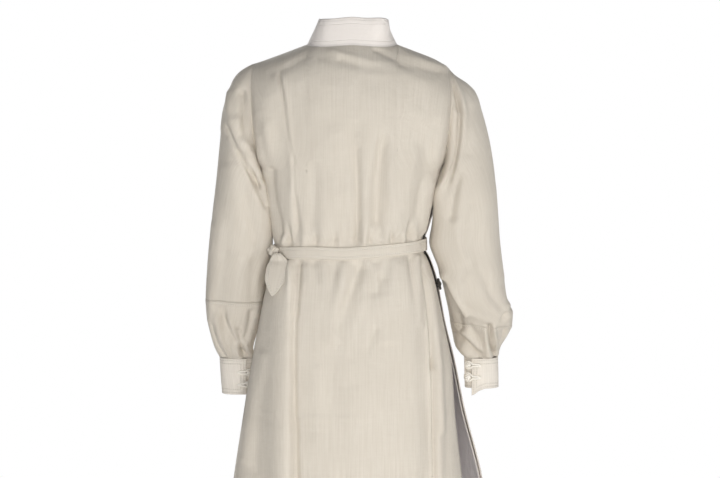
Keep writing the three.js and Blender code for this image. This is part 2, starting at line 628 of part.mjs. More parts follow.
// Frogs: a ball of knotted cord, and a cord loop that reaches over it from the other edge. Spot gives the
// point at across, up and lift from where the edge lies.
function ropeGeometry(path, outs, radius) {
  const sides = 6;
  const count = path.length;
  const points = path.flatMap((p, i) => {
    const along = path[(i + 1) % count].clone().sub(path[(i + count - 1) % count]).normalize();
    const across = along.clone().cross(outs[i]).normalize();
    const out = across.clone().cross(along);
    return stepsFrom(0, 360, sides)
      .slice(0, -1)
      .map((turn) =>
        p
          .clone()
          .addScaledVector(across, radius * Math.cos(radians(turn)))
          .addScaledVector(out, radius * Math.sin(radians(turn))),
      );
  });
  const faces = [];
  const at = (i, k) => (i % count) * sides + (k % sides);
  for (let i = 0; i < count; i++)
    for (let k = 0; k < sides; k++) {
      faces.push([at(i, k), at(i + 1, k), at(i + 1, k + 1)], [at(i, k), at(i + 1, k + 1), at(i, k + 1)]);
    }
  return closedSolid(points, faces);
}
const frogReach = 12; // how far a loop runs back from the edge
function addFrog(name, spot, { ball, cord, knotAt, seat, loopLift, material }) {
  const middle = spot(knotAt, 0, seat + ball);
  const knot = new THREE.SphereGeometry(ball, 10, 7).translate(middle.x, middle.y, middle.z);
  addPiece(`${name}_knot`, knot, material);
  const round = ball + cord + 1.2;
  const neck = cord + 0.4;
  const head = stepsFrom(-130, 130, 8).map((turn) => [
    knotAt + round * Math.cos(radians(turn)),
    round * Math.sin(radians(turn)),
  ]);
  const tail = [
    [knotAt - round - 2, neck + 0.6],
    [-frogReach, neck],
    [-frogReach - neck, 0],
    [-frogReach, -neck],
    [knotAt - round - 2, -neck - 0.6],
  ];
  const route = [...head, ...tail];
  const path = route.map(([across, up]) => spot(across, up, loopLift));
  const outs = route.map(([across, up], i) => spot(across, up, loopLift + 1).sub(path[i]));
  addPiece(`${name}_loop`, ropeGeometry(path, outs, cord), material);
}
const cuffFrogs = { left: [0.38, 0.72], right: [0.22, 0.62] }; // shares of the cuff's height
const knotSeat = 0.85; // a knot over the strip it is sewn to
const degreesPerMm = 1.9; // around a cuff
function addCuffFrogs(hand) {
  const cord = 1.3;
  const end = cuffEnds[hand];
  const height = sleeveRings[hand].at(-1).outZ - end.z;
  cuffFrogs[hand].forEach((share, i) => {
    const spot = (across, up, lift) => {
      const turn = cuffFlap.edge + across * degreesPerMm;
      return cuffPoint(hand, turn, share - up / height, lift);
    };
    const seat = knotSeat - cuffFlap.tuck;
    const loopLift = end.flare * share + cord + end.loopRoom;
    const ball = loopLift - knotSeat - seat;
    const knotAt = ball + cord + 0.5;
    addFrog(`${hand}_cuff_frog_${i + 1}`, spot, { ball, cord, knotAt, seat, loopLift, material: cuffCord });
  });
}
function addSideFrog() {
  const h = -460;
  const spot = (across, up, lift) => {
    const edge = clothPoint(-1, -1, h + up, lapLift);
    return v3(edge.x - lift, edge.y + across, edge.z);
  };
  addFrog("side_frog", spot, {
    ball: 5.4,
    cord: 1.5,
    knotAt: 7.2,
    seat: -lapLift - 0.5,
    loopLift: 1.9,
    material: sideCord,
  });
}

// Sash: a doubled strip around the waist, over the outer front, with its knot and one leaf-shaped end.
const sashSeat = 0.35;
const sashKnot = { u: 0.84, h: -383, across: 14, out: 8, up: 9, clear: 1.7 };
const tailRows = table(
  ["down", "half", "out"],
  [0, 7, 0],
  [12, 16, -2],
  [28, 22, -4],
  [46, 21, -4],
  [62, 14, -4],
  [74, 6, -4],
  [79, 1.5, -4],
);
function addSash() {
  const lift = sashSeat + bandWall;
  const frontColumns = [...lapColumns, ...leftColumns].reverse().slice(1, -1);
  const heights = [sashZ - sashHeight / 2, sashZ, sashZ + sashHeight / 2];
  const grid = heights.map((h) => [
    ...backColumns.map((u) => clothPoint(1, u, h, lift + lapLift * (1 - smooth(-1, -0.84, u)))),
    ...frontColumns.map((u) => clothPoint(-1, u, h, lift + overLift(u, h))),
  ]);
  addPiece("sash", wallGeometry(grid, { wall: bandWall, outward: -1, closed: true }), robeCloth);

  const out = outwardAt(1, sashKnot.u, sashKnot.h).add(v3(0, 1, 0)).setZ(0).normalize();
  const across = v3(out.y, -out.x, 0);
  const knotLift = lift + sashKnot.clear + sashKnot.out;
  const middle = clothPoint(1, sashKnot.u, sashKnot.h, knotLift);
  const ball = new THREE.SphereGeometry(1, 14, 9).rotateX(Math.PI / 2);
  const place = new THREE.Matrix4().makeBasis(across, out, v3(0, 0, 1)).setPosition(middle);
  ball.scale(sashKnot.across, sashKnot.out, sashKnot.up).applyMatrix4(place);
  addPiece("sash_knot", ball, robeCloth);

  const from = middle.z - sashKnot.up - 2 * seamGap;
  const tail = tailRows.map((row) => {
    const skirt = clothPoint(1, sashKnot.u, from - row.down, knotLift + row.out);
    const centre = v3(skirt.x, skirt.y, from - row.down);
    return stepsFrom(-1, 1, 4).map((t) => centre.clone().addScaledVector(across, t * row.half));
  });
  addPiece("sash_end", wallGeometry(tail, { wall: bandWall, outward: -1 }), robeCloth);
}

addSheets();
addCollar();
for (const hand of ["left", "right"]) {
  addSleeve(hand);
  addCuff(hand);
  addCuffFrogs(hand);
}
addSideFrog();
addSash();

export default robe;
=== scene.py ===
import math
import bpy
import numpy as np
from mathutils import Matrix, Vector


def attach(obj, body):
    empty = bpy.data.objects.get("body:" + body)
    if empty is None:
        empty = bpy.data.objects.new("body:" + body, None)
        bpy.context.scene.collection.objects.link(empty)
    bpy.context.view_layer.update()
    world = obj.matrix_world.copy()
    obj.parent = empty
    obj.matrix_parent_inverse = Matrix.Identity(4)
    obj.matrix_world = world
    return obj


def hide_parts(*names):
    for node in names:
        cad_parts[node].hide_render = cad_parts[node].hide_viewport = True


# A worn Taoist robe in undyed linen, seen from behind. Sizes are in millimetres until a mesh is made.
# The robe faces -Y and the wearer's left is +X. The origin is the middle of the neck opening.
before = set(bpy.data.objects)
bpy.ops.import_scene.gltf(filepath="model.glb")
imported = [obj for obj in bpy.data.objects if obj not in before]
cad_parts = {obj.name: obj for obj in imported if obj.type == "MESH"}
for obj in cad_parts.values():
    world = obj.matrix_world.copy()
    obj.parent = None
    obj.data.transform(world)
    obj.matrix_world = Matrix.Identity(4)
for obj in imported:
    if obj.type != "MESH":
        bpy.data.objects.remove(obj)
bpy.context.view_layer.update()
mm = 0.001
print("frame loaded:", len(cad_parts), "nodes")


def addObject(name, data):
    made = bpy.data.objects.new(name, data)
    bpy.context.scene.collection.objects.link(made)
    return made


def addAimed(name, data, at, towards):  # a camera or a lamp that looks from one place towards another
    made = addObject(name, data)
    made.location = at
    made.rotation_euler = (Vector(towards) - Vector(at)).to_track_quat("-Z", "Y").to_euler()
    return made


# Camera, a long lens behind the wearer
view = {"at": (-0.015, 3.985, -0.020), "lookAt": (-0.015, 0.0, -0.369), "lens": 105, "sensor": 36}
cameraData = bpy.data.cameras.new("studioCamera")
cameraData.lens = view["lens"]
cameraData.sensor_width = view["sensor"]
bpy.context.scene.camera = addAimed("studioCamera", cameraData, view["at"], view["lookAt"])


# Small mathematics on whole arrays of points
def clamp(t):
    return np.clip(t, 0, 1)


def mix(a, b, t):
    return a + (b - a) * t


def smooth(a, b, t):
    s = clamp((t - a) / (b - a))
    return s * s * (3 - 2 * s)


def vec(x, y, z):
    return np.stack(np.broadcast_arrays(x, y, z), -1).astype(float)


def unit(v):
    return v / np.maximum(np.linalg.norm(v, axis=-1, keepdims=True), 1e-9)


def hermite(t, start, leaving, end, arriving):  # from start to end, with the slopes at both
    return ((2 * t**3 - 3 * t**2 + 1) * start + (t**3 - 2 * t**2 + t) * leaving
            + (3 * t**2 - 2 * t**3) * end + (t**3 - t**2) * arriving)


def curveThrough(keys, values, at):  # never swings past its points
    keys = np.asarray(keys, float)
    values = np.asarray(values, float)
    rate = np.diff(values) / np.diff(keys)
    before = np.concatenate([rate[:1], rate])
    after = np.concatenate([rate, rate[-1:]])
    both = before * after
    slope = np.where(both > 0, 2 * both / np.where(both > 0, before + after, 1), 0)
    i = np.clip(np.searchsorted(keys, at, side="right") - 1, 0, len(keys) - 2)
    span = keys[i + 1] - keys[i]
    t = clamp((at - keys[i]) / span)
    return hermite(t, values[i], slope[i] * span, values[i + 1], slope[i + 1] * span)


def firstWhere(low, high, reached):  # the value at which reached turns true, for every point at once
    low = low + np.zeros(1)
    high = high + np.zeros(1)
    for _ in range(26):
        middle = (low + high) / 2
        there = reached(middle)
        high = np.where(there, middle, high)
        low = np.where(there, low, middle)
    return high


# The worn body: level sections below the armpits, and above them a sheet that runs over the shoulder
body = {
    "hemZ": -1300, "armpitZ": -232, "coreHalf": 128, "coreRound": 2.5, "flareBias": 2.2,
    "neckHalf": 85, "neckRound": 2.6, "neckDepth": 62, "tipHalf": 188, "shoulderDrop": 38, "ridgeY": -4,
    "crown": 20, "crownRound": 1.65, "lapLift": 5.2, "lapRun": 250, "lapDrop": 316, "lapBend": 0.82,
    "clothThick": 1.1,
}
belt = {"z": -387, "height": 23, "slope": -0.072, "grip": 95, "seat": 0.35, "thick": 2.4,
        "rise": 6.5, "riseTo": 95}
sections = {
    "z": [-1300, -1100, -823, -700, -600, -530, -450, -412, -400, -374, -360, -336, -290, -232],
    "backLeft": [290, 262, 226, 207, 191, 178, 162, 151, 147, 147, 151, 156, 166, 176],
    "backRight": [262, 240, 210, 196, 189, 175, 156, 142, 135, 134, 139, 146, 157, 171],
    "frontLeft": [258, 236, 199, 178, 169, 168, 162, 151, 147, 147, 151, 156, 166, 176],
    "frontRight": [326, 288, 244, 212, 191, 173, 156, 142, 135, 134, 139, 146, 157, 171],
    "back": [176, 165, 149, 141, 134, 128, 117, 105, 100, 100, 107, 112, 115, 117],
    "front": [-196, -180, -158, -147, -139, -132, -122, -112, -107, -107, -113, -118, -123, -127],
    "backSide": [46, 42, 38, 34, 30, 24, 16, 10, 8, 6, 5, 4, 2, 0],
    "frontSide": [-6, -4, 0, 2, 6, 12, 16, 10, 8, 6, 5, 4, 2, 0],
}
pulls = {1: {"lean": 42, "rise": 500, "over": 260, "up": 20},
         -1: {"lean": 22, "rise": 420, "over": 235, "up": 20}}
armhole = {"bow": 250, "bulge": 20, "reach": 0.5}


def spreadTo(across, edge):
    core = body["coreHalf"] * np.sin(across * math.pi / 2) ** (2 / body["coreRound"])
    return core + (edge - body["coreHalf"]) * across ** body["flareBias"]


def beltTilt(x):  # it hangs towards the wearer's left, then levels out
    return belt["slope"] * x + belt["rise"] * smooth(0, belt["riseTo"], x)


def levelPoint(side, u, h):
    name = "back" if side > 0 else "front"
    left = curveThrough(sections["z"], sections[name + "Left"], h)
    right = curveThrough(sections["z"], sections[name + "Right"], h)
    edge = np.where(u >= 0, left, right)
    sideY = curveThrough(sections["z"], sections[name + "Side"], h)
    middle = curveThrough(sections["z"], sections[name], h)
    half = spreadTo(np.abs(u), edge)
    turnIn = mix(0.8, 1 / body["coreRound"], smooth(body["hemZ"], -430, h))
    y = sideY + (middle - sideY) * (1 - clamp(half / edge) ** body["coreRound"]) ** turnIn
    x = np.sign(u) * half
    return vec(x, y, h + beltTilt(x) * np.exp(-(((h - belt["z"]) / belt["grip"]) ** 2)))


def ridgePoint(u):
    half = spreadTo(np.abs(u), body["tipHalf"])
    out = (half - body["neckHalf"]) / (body["tipHalf"] - body["neckHalf"])
    crown = body["crown"] * (1 - np.minimum(half / body["neckHalf"], 1) ** body["crownRound"])
    z = np.where(out > 0, -body["shoulderDrop"] * out, crown)
    return vec(np.sign(u) * half, body["ridgeY"] * (1 - clamp(out)), z)


def sheetPoint(side, u, h):
    u, h = np.broadcast_arrays(np.asarray(u, float), np.asarray(h, float))
    low = levelPoint(side, u, np.minimum(h, body["armpitZ"]))
    pull = pulls[side]
    sign = np.sign(u)
    zero = np.zeros_like(u)
    atArmhole = (smooth(armhole["reach"], 1, np.abs(u)) ** 1.5)[..., None]
    start = mix(vec(zero, side * pull["lean"], pull["rise"]),
                vec(sign * armhole["bulge"], side * armhole["bow"], zero), atArmhole)
    end = mix(vec(zero, -side * pull["over"], pull["up"]),
              vec(-sign * armhole["bulge"], -side * armhole["bow"], zero), atArmhole)
    t = clamp(1 - h / body["armpitZ"])[..., None]
    over = hermite(t, low, start, ridgePoint(u), end)
    return np.where((h <= body["armpitZ"])[..., None], low, over)


def outwardAt(side, u, h):
    across = sheetPoint(side, np.minimum(1, u + 0.004), h) - sheetPoint(side, np.maximum(-1, u - 0.004), h)
    up = sheetPoint(side, u, np.minimum(-0.5, h + 2)) - sheetPoint(side, u, np.maximum(body["hemZ"], h - 2))
    return unit(np.cross(across, up)) * -side


# Folds and creases run from x0, z0 to x1, z1 as seen from behind or in front, bowed sideways by bow. They
# stand out by lift (a trough is negative), from its value at the upper end to that at the lower one, and
# die away over plus towards the wearer's left and minus towards the right.
foldNames = ["x0", "z0", "x1", "z1", "bow", "lift0", "lift1", "plus", "minus"]
backFolds = [
    (122, -408, 128, -1300, 0, 5, 13, 26, 14), (146, -430, 172, -1300, 0, -2, -15, 20, 20),
    (-127, -380, -172, -1300, 0, -6, -10, 14, 10), (-146, -430, -205, -1300, 0, 2, 9, 18, 22),
    (-9, -425, 24, -560, 0, -5, -1, 17, 20), (-30, -620, -44, -1300, 0, 0, -14, 34, 30),
    (46, -700, 52, -1300, 0, 0, 12, 30, 34), (-95, -640, -112, -1300, 0, 0, 13, 26, 28),
    (196, -700, 232, -1300, 0, 2, 15, 24, 24), (101, -300, 104, -372, 0, -1, -6, 10, 10),
    (52, -318, 50, -372, 0, 0, 5, 13, 11), (8, -320, 4, -372, 0, 0, -4, 12, 12),
    (-57, -180, -46, -372, 0, -3, -5, 13, 14), (-90, -250, -84, -370, 0, 1, 6, 14, 12),
    (84, -406, 80, -450, 0, 4, 0, 12, 12), (30, -406, 40, -470, 0, -5, 0, 10, 10),
    (-64, -402, -58, -480, 0, -4, 0, 11, 11), (-92, -400, -100, -520, 0, 4, 0, 12, 14),
    (121, -92, 107, -260, 0, 2.4, 2.4, 9, 6),
]
frontFolds = [
    (96, -408, 118, -1300, 0, 3, 14, 26, 24), (52, -410, 60, -1300, 0, -2, -13, 24, 24),
    (-6, -430, -4, -1300, 0, 1, 11, 30, 30), (-68, -410, -78, -1300, 0, -2, -13, 26, 26),
    (-112, -420, -150, -1300, 0, 1, 14, 28, 30), (-150, -560, -222, -1300, 0, 0, -12, 26, 28),
    (70, -280, 74, -372, 0, 0, 5, 14, 14), (14, -300, 12, -372, 0, 0, -4, 14, 14),
]
# Creases that only the fine cloth has
backCreases = [
    # strained cloth under the collar and towards the right shoulder
    (36, -12, -70, -35, 3, 1.6, 0.4, 5, 4), (20, -27, -52, -43, 3, -2.2, -0.8, 6, 5),
    (-46, -8, -160, -50, 5, -2.4, -1.8, 6, 5), (-82, -6, -176, -44, 4, 1.6, 2.2, 5, 5),
    (-92, -36, -152, -60, 3, -1.4, -1.0, 5, 4), (60, -22, 10, -44, -3, -1.2, -0.4, 7, 7),
    (-20, -62, -110, -84, 5, -0.8, -0.3, 14, 14), (84, -20, 150, -52, -4, -1.2, -1.4, 6, 6),
    # sewn tuck at the left, with its pucker
    (136, -60, 129, -94, -2, -3.2, -2.0, 3.2, 3.2), (128, -70, 122, -96, 2, 2.0, 0.6, 4, 4),
    (127, -98, 108, -216, 3, -1.2, -0.9, 2.6, 3.2), (109, -212, 100, -338, 2, -0.9, -2.0, 2.8, 3.6),
    (118, -100, 98, -250, 3, -0.4, 0.2, 8, 9), (112, -220, 106, -362, 3, 0.2, 1.8, 9, 8),
    # soft falls of the upper back
    (176, -150, 168, -226, -4, -3.0, -2.6, 7, 9), (196, -186, 160, -240, -4, 2.6, 2.4, 8, 6),
    (152, -236, 132, -352, 5, -2.8, -3.4, 9, 8), (163, -150, 140, -200, 6, 1.8, 0.5, 16, 14),
    (-56, -180, -44, -330, 5, -3.2, -3.8, 8, 10), (-7, -190, -9, -366, -2, -3.0, -5.4, 6, 7),
    (-72, -210, -78, -300, 2, 2.0, 1.0, 9, 9), (-118, -196, -101, -300, 4, 2.2, 1.2, 9, 10),
    (-148, -250, -138, -352, 2, 2.6, 2.4, 9, 8), (-132, -260, -120, -360, 3, -2.2, -2.6, 8, 8),
    (-30, -110, -30, -330, 1, 0.25, 0.25, 2.2, 2.2), (70, -226, 76, -340, -3, -1.2, -1.8, 10, 10),
    (40, -160, 24, -300, 5, 1.2, 0.8, 18, 16), (-8, -150, 10, -250, 4, -1.4, -0.6, 12, 12),
    (16, -290, 14, -366, 2, -0.8, -3.0, 22, 20),
    (-160, -150, -140, -250, 6, -1.6, -2.0, 12, 12), (-118, -120, -150, -190, -5, 1.4, 0.8, 14, 12),
    # gathers pressed up against the sash
    (128, -340, 126, -373, 0, 1, 4.0, 5, 6), (118, -336, 116, -372, 0, -1, -4.5, 4, 4),
    (88, -336, 90, -370, 0, 0.5, 3.2, 6, 7), (66, -342, 68, -370, 0, -0.5, -3.0, 5, 5),
    (34, -344, 33, -369, 0, -0.4, -2.6, 4, 5), (20, -338, 21, -369, 0, 0.4, 2.6, 6, 6),
    (-22, -340, -22, -368, 0, 0.4, 2.8, 6, 6), (-34, -338, -33, -367, 0, -0.4, -3.2, 4, 4),
    (-64, -336, -63, -366, 0, 0.4, 3.0, 6, 6), (-74, -342, -74, -365, 0, -0.4, -3.0, 4, 4),
    (-110, -330, -106, -366, 0, -1.6, -6.0, 4, 5), (-98, -340, -97, -364, 0, 0.4, 2.4, 4, 4),
    (-122, -334, -118, -364, 0, 1.6, 5.4, 5, 5),
    # gathers that hang from the sash
    (116, -404, 118, -470, -2, 3.6, 0.8, 6, 5), (99, -402, 103, -500, -1, -3.6, -1.5, 4, 4),
    (72, -402, 60, -462, 1, -1.7, -0.3, 7, 7), (54, -402, 46, -460, 0, 1.4, 0.2, 8, 8),
    (14, -400, 30, -470, 0, 1.6, 0.3, 8, 8), (-8, -400, 12, -490, 2, -1.9, -0.6, 7, 8),
    (-28, -399, -14, -456, 0, 1.4, 0.2, 8, 8), (-46, -398, -34, -470, 0, -1.4, -0.2, 7, 7),
    (-78, -397, -74, -458, 0, 1.5, 0.3, 8, 8), (-108, -390, -116, -470, 0, -3.0, -0.8, 5, 5),
    (-120, -386, -128, -520, 0, 3.6, 1.4, 6, 6), (-97, -390, -100, -440, 0, 1.6, 0.3, 6, 5),
    # long folds of the skirt
    (106, -425, 108, -690, 2, -2.0, -3.6, 3.0, 5.5), (106, -702, 95, -1300, 2, -3.6, -3.4, 3.0, 6),
    (113, -420, 115, -690, 2, 1.2, 2.6, 30, 3.0), (115, -702, 102, -1300, 2, 2.6, 2.8, 32, 3.0),
    (140, -450, 146, -690, 0, 0.8, 3.4, 17, 15), (146, -702, 150, -1300, 0, 3.4, 3.8, 19, 16),
    (186, -560, 186, -1290, 0, -0.8, -2.4, 16, 16), (164, -500, 186, -800, 4, -1.2, -1.8, 14, 12),
    (168, -580, 204, -780, 3, 2.4, 3.4, 13, 12), (-17, -412, 28, -524, 3, -3.4, -1.2, 9, 10),
    (-2, -420, 44, -560, 4, 2.4, 0.8, 12, 11), (-56, -430, 0, -580, 6, -2.8, -1.2, 9, 10),
    (-34, -470, 12, -640, 7, 2.0, 0.8, 14, 13), (-44, -528, -28, -566, 1, -1.6, -0.8, 6, 6),
    (-134, -420, -152, -600, -3, -3.4, -4.2, 4, 4.6), (-152, -590, -161, -1290, -2, -4.0, -3.6, 3.6, 5),
    (-146, -440, -170, -720, -3, 2.2, 3.0, 8, 8), (-176, -560, -190, -1290, 0, -1.6, -3.0, 8, 8),
    (40, -560, 30, -690, 4, -1.0, -1.2, 16, 16), (-70, -560, -92, -900, -5, -1.2, -2.0, 18, 18),
    (66, -600, 70, -760, -3, 1.2, 1.0, 12, 12), (-4, -640, -12, -820, 3, 1.4, 1.6, 16, 16),
    (18, -800, 6, -1290, 4, -2.0, -3.4, 12, 12), (-66, -860, -70, -1290, 3, 2.0, 3.6, 12, 13),
    (84, -820, 78, -1290, -3, -1.6, -3.0, 12, 12), (-132, -800, -134, -1290, 2, -1.8, -3.2, 12, 12),
    (148, -840, 158, -1290, 3, 2.0, 3.4, 11, 11), (214, -860, 250, -1290, 3, -2.0, -3.6, 12, 12),
    # pressed lines left from folding, and a small snag
    (86, -688, -18, -688, 1, 1.4, 0.9, 2.4, 2.4), (-44, -466, -112, -469, -1, 0.8, 0.6, 2.2, 2.2),
    (76, -716, 20, -722, -1, -0.7, -0.3, 3, 3), (190, -690, 120, -704, 2, -0.9, -0.4, 4, 4),
    (60, -1010, -90, -1012, 1, 0.8, 0.7, 2.4, 2.4),
]
frontCreases = [
    (110, -80, 60, -190, 6, -2.0, -1.2, 8, 8), (140, -110, 110, -250, 6, 2.0, 1.4, 10, 10),
    (-120, -90, -80, -210, -6, -2.0, -1.0, 8, 8), (150, -190, 120, -340, 5, -2.6, -2.8, 9, 8),
    (-146, -210, -120, -350, -5, -2.4, -2.6, 9, 8), (96, -240, 84, -366, 3, 1.8, 2.8, 8, 8),
    (40, -270, 44, -370, 2, -1.4, -2.6, 7, 7), (-18, -300, -16, -368, 0, 1.0, 2.8, 7, 7),
    (-46, -300, -42, -367, 0, -1.0, -2.8, 6, 6), (-84, -320, -80, -366, 0, 0.8, 3.0, 7, 7),
    (-104, -336, -102, -364, 0, -0.6, -3.2, 5, 5), (112, -336, 112, -371, 0, -0.6, -3.6, 5, 5),
    (126, -336, 124, -372, 0, 0.6, 3.2, 5, 5), (22, -340, 22, -370, 0, 0.5, 2.6, 5, 5),
    (112, -404, 116, -480, 0, 3.0, 0.6, 7, 7), (84, -403, 80, -470, 0, -3.0, -0.6, 6, 6),
    (64, -402, 66, -456, 0, 2.4, 0.2, 7, 7), (24, -401, 20, -476, 0, -2.6, -0.4, 6, 6),
    (-12, -400, -10, -460, 0, 2.6, 0.3, 7, 7), (-44, -398, -40, -470, 0, -2.6, -0.4, 6, 6),
    (-84, -397, -88, -480, 0, 2.6, 0.6, 7, 7), (-104, -396, -112, -520, 0, -2.6, -1.2, 6, 6),
    (30, -470, 26, -800, 4, 1.6, 2.4, 13, 12), (78, -520, 88, -1290, 3, -2.4, -4.0, 9, 10),
    (-36, -540, -40, -1290, 3, -2.0, -3.8, 9, 10), (-96, -520, -112, -1290, 3, 2.0, 3.6, 11, 11),
    (140, -560, 166, -1290, 3, -2.4, -4.2, 10, 10), (-170, -640, -200, -1290, 3, 2.0, 3.6, 12, 12),
    (-240, -900, -266, -1290, 0, 1.8, 3.6, 12, 12), (16, -760, 22, -1290, 3, 1.8, 3.2, 12, 12),
    (100, -702, -120, -700, 1, 0.9, 0.8, 2.4, 2.4), (130, -1010, -150, -1008, 1, 0.9, 0.8, 2.4, 2.4),
]
creaseScale = {"lift": 2.1, "wide": 1.15, "folds": 1.2}


def creaseLift(rows, x, z, fade=34, scale=1.0):
    lift = np.zeros_like(x)
    for row in rows:
        f = dict(zip(foldNames, row))
        dx = f["x1"] - f["x0"]
        dz = f["z1"] - f["z0"]
        long = math.hypot(dx, dz)
        along = ((x - f["x0"]) * dx + (z - f["z0"]) * dz) / long
        share = clamp(along / long)
        beside = ((x - f["x0"]) * -dz + (z - f["z0"]) * dx) / long - f["bow"] * 4 * share * (1 - share)
        width = np.where(beside > 0, f["plus"], f["minus"]) * scale
        ends = smooth(-fade, 0, along)
        if f["z1"] > body["hemZ"]:
            ends = ends * (1 - smooth(long, long + fade, along))
        lift = lift + mix(f["lift0"], f["lift1"], share) * np.exp(-((beside / width) ** 2)) * ends
    return lift


def clearOfSash(x, z, near, far):
    return smooth(near, far, np.abs(z - belt["z"] - beltTilt(x)) - belt["height"] / 2)


def foldAlong(side, p):
    folds = backFolds if side > 0 else frontFolds
    return creaseLift(folds, p[..., 0], p[..., 2]) * clearOfSash(p[..., 0], p[..., 2], 4, 20)


def foldShare(u, z):  # the large folds die away towards the sides and over the shoulders
    return (1 - np.abs(u) ** 6) ** 0.5 * smooth(-20, -70, z)


def clothPoint(side, u, h, lift=0.0):  # the plain cloth with its large folds, as the frame has it
    u, h = np.broadcast_arrays(np.asarray(u, float), np.asarray(h, float))
    p = sheetPoint(side, u, h)
    deep = foldAlong(side, p) * foldShare(u, p[..., 2])
    lift = np.asarray(lift, float)[..., None]
    return p + outwardAt(side, u, h) * lift + vec(0, side * deep, 0)


def overLift(u, h):
    return body["lapLift"] * (1 - smooth(0.7, 1, u)) * (1 - smooth(-80, -5, h))


neckU = float(firstWhere(0.0, 1.0, lambda u: spreadTo(u, body["tipHalf"]) >= body["neckHalf"])[0])


def backTop(u):
    def reached(h):
        p = sheetPoint(1, u, h)
        round_ = body["neckRound"]
        reach = (1 - clamp(np.abs(p[..., 0]) / body["neckHalf"]) ** round_) ** (1 / round_)
        return p[..., 1] - body["ridgeY"] <= body["neckDepth"] * reach
    return np.where(np.abs(u) >= neckU - 1e-6, 0, firstWhere(body["armpitZ"] + 0 * u, 0 * u, reached))


def frontTop(u, hand):
    def reached(h):
        p = sheetPoint(-1, u, h)
        run = clamp((body["neckHalf"] - p[..., 0] * hand) / body["lapRun"]) ** body["lapBend"]
        return p[..., 2] >= -body["lapDrop"] * run
    return np.where(u * hand >= neckU - 1e-6, 0, firstWhere(-340 + 0 * u, 0 * u, reached))


# Sleeves: rings that tip over from the armhole to level, with their outer and inner X and Z, the Y of their
# middle and half their depth. Turn is 0 at the outer side, 90 at the back and 180 at the inner side.
sleeves = {
    "left": {
        "outX": [188, 212, 234, 246, 252, 258, 266, 272, 276.5, 279, 277, 270, 262, 254],
        "outZ": [-38, -54, -86, -130, -188, -250, -315, -372, -430, -484, -520, -556, -582, -598],
        "inX": [176, 179.5, 179, 176, 170.5, 165, 157, 152.5, 160, 169.5, 177, 185, 189, 188],
        "inZ": [-232, -240, -249, -263, -285, -312, -348, -386, -436, -488, -522, -556, -582, -598],
        "midY": [0, 0, 1, 2, 2, 0, -4, -10, -20, -31, -41, -51, -58, -62],
        "depth": [62, 65, 68, 67, 63, 59, 56, 53, 51, 49, 47, 43, 37, 30],
        "folds": [(128, 3.4, 16, 0.9, -7), (150, 8.2, 26, 0.8, -6), (70, 11.4, 15, 1.6, -6),
                  (250, 11.2, 18, 1.6, -6), (38, 10.6, 15, 1.5, 5)],
        "closeIn": [(150, 3.9, 28, 2.7, 17), (176, 9.8, 36, 1.5, 4)],
        "sideways": [(150, 2.9, 22, 2.0, 6), (168, 2.8, 22, 2.1, 9)], "seam": 9, "sign": 1,
    },
    "right": {
        "outX": [188, 206, 233, 249, 263, 272, 277.5, 281, 287, 293, 305, 304, 296, 285, 279],
        "outZ": [-38, -58, -88, -134, -192, -252, -315, -370, -430, -478, -510, -534, -556, -580, -598],
        "inX": [171, 175, 175.5, 172, 166, 158, 152, 147, 163, 173.5, 180, 183, 188, 200, 214],
        "inZ": [-232, -240, -249, -263, -286, -313, -345, -376, -424, -468, -505, -528, -552, -580, -598],
        "midY": [0, 0, 0, 0, 0, 0, -2, -5, -9, -14, -26, -38, -50, -60, -66],
        "depth": [62, 64, 68, 69, 67, 65, 63, 63, 65, 64, 58, 53, 48, 41, 32],
        "folds": [(122, 3.2, 16, 1.1, -8), (146, 11, 34, 1.5, -22), (128, 9.1, 30, 0.9, 7),
                  (48, 12.6, 14, 1.4, -7), (252, 12.3, 18, 1.5, -6)],
        "closeIn": [(150, 2.9, 28, 2.0, 17)],
        "sideways": [(150, 2.7, 22, 1.9, 5), (168, 2.7, 22, 2.0, 10)], "seam": 11, "sign": -1,
    },
}
lowerArm = {"wider": 0.016, "drop": 0.026, "from": 300, "to": 600}
sleeveShape = {"outer": 2.2, "inner": 3, "armpitEase": 0.5, "fade": 2.4, "foldsFrom": 0.5, "foldsTo": 2,
               "nearTo": 1.4, "creasesTo": 1.2, "cuffCalm": 0.75}
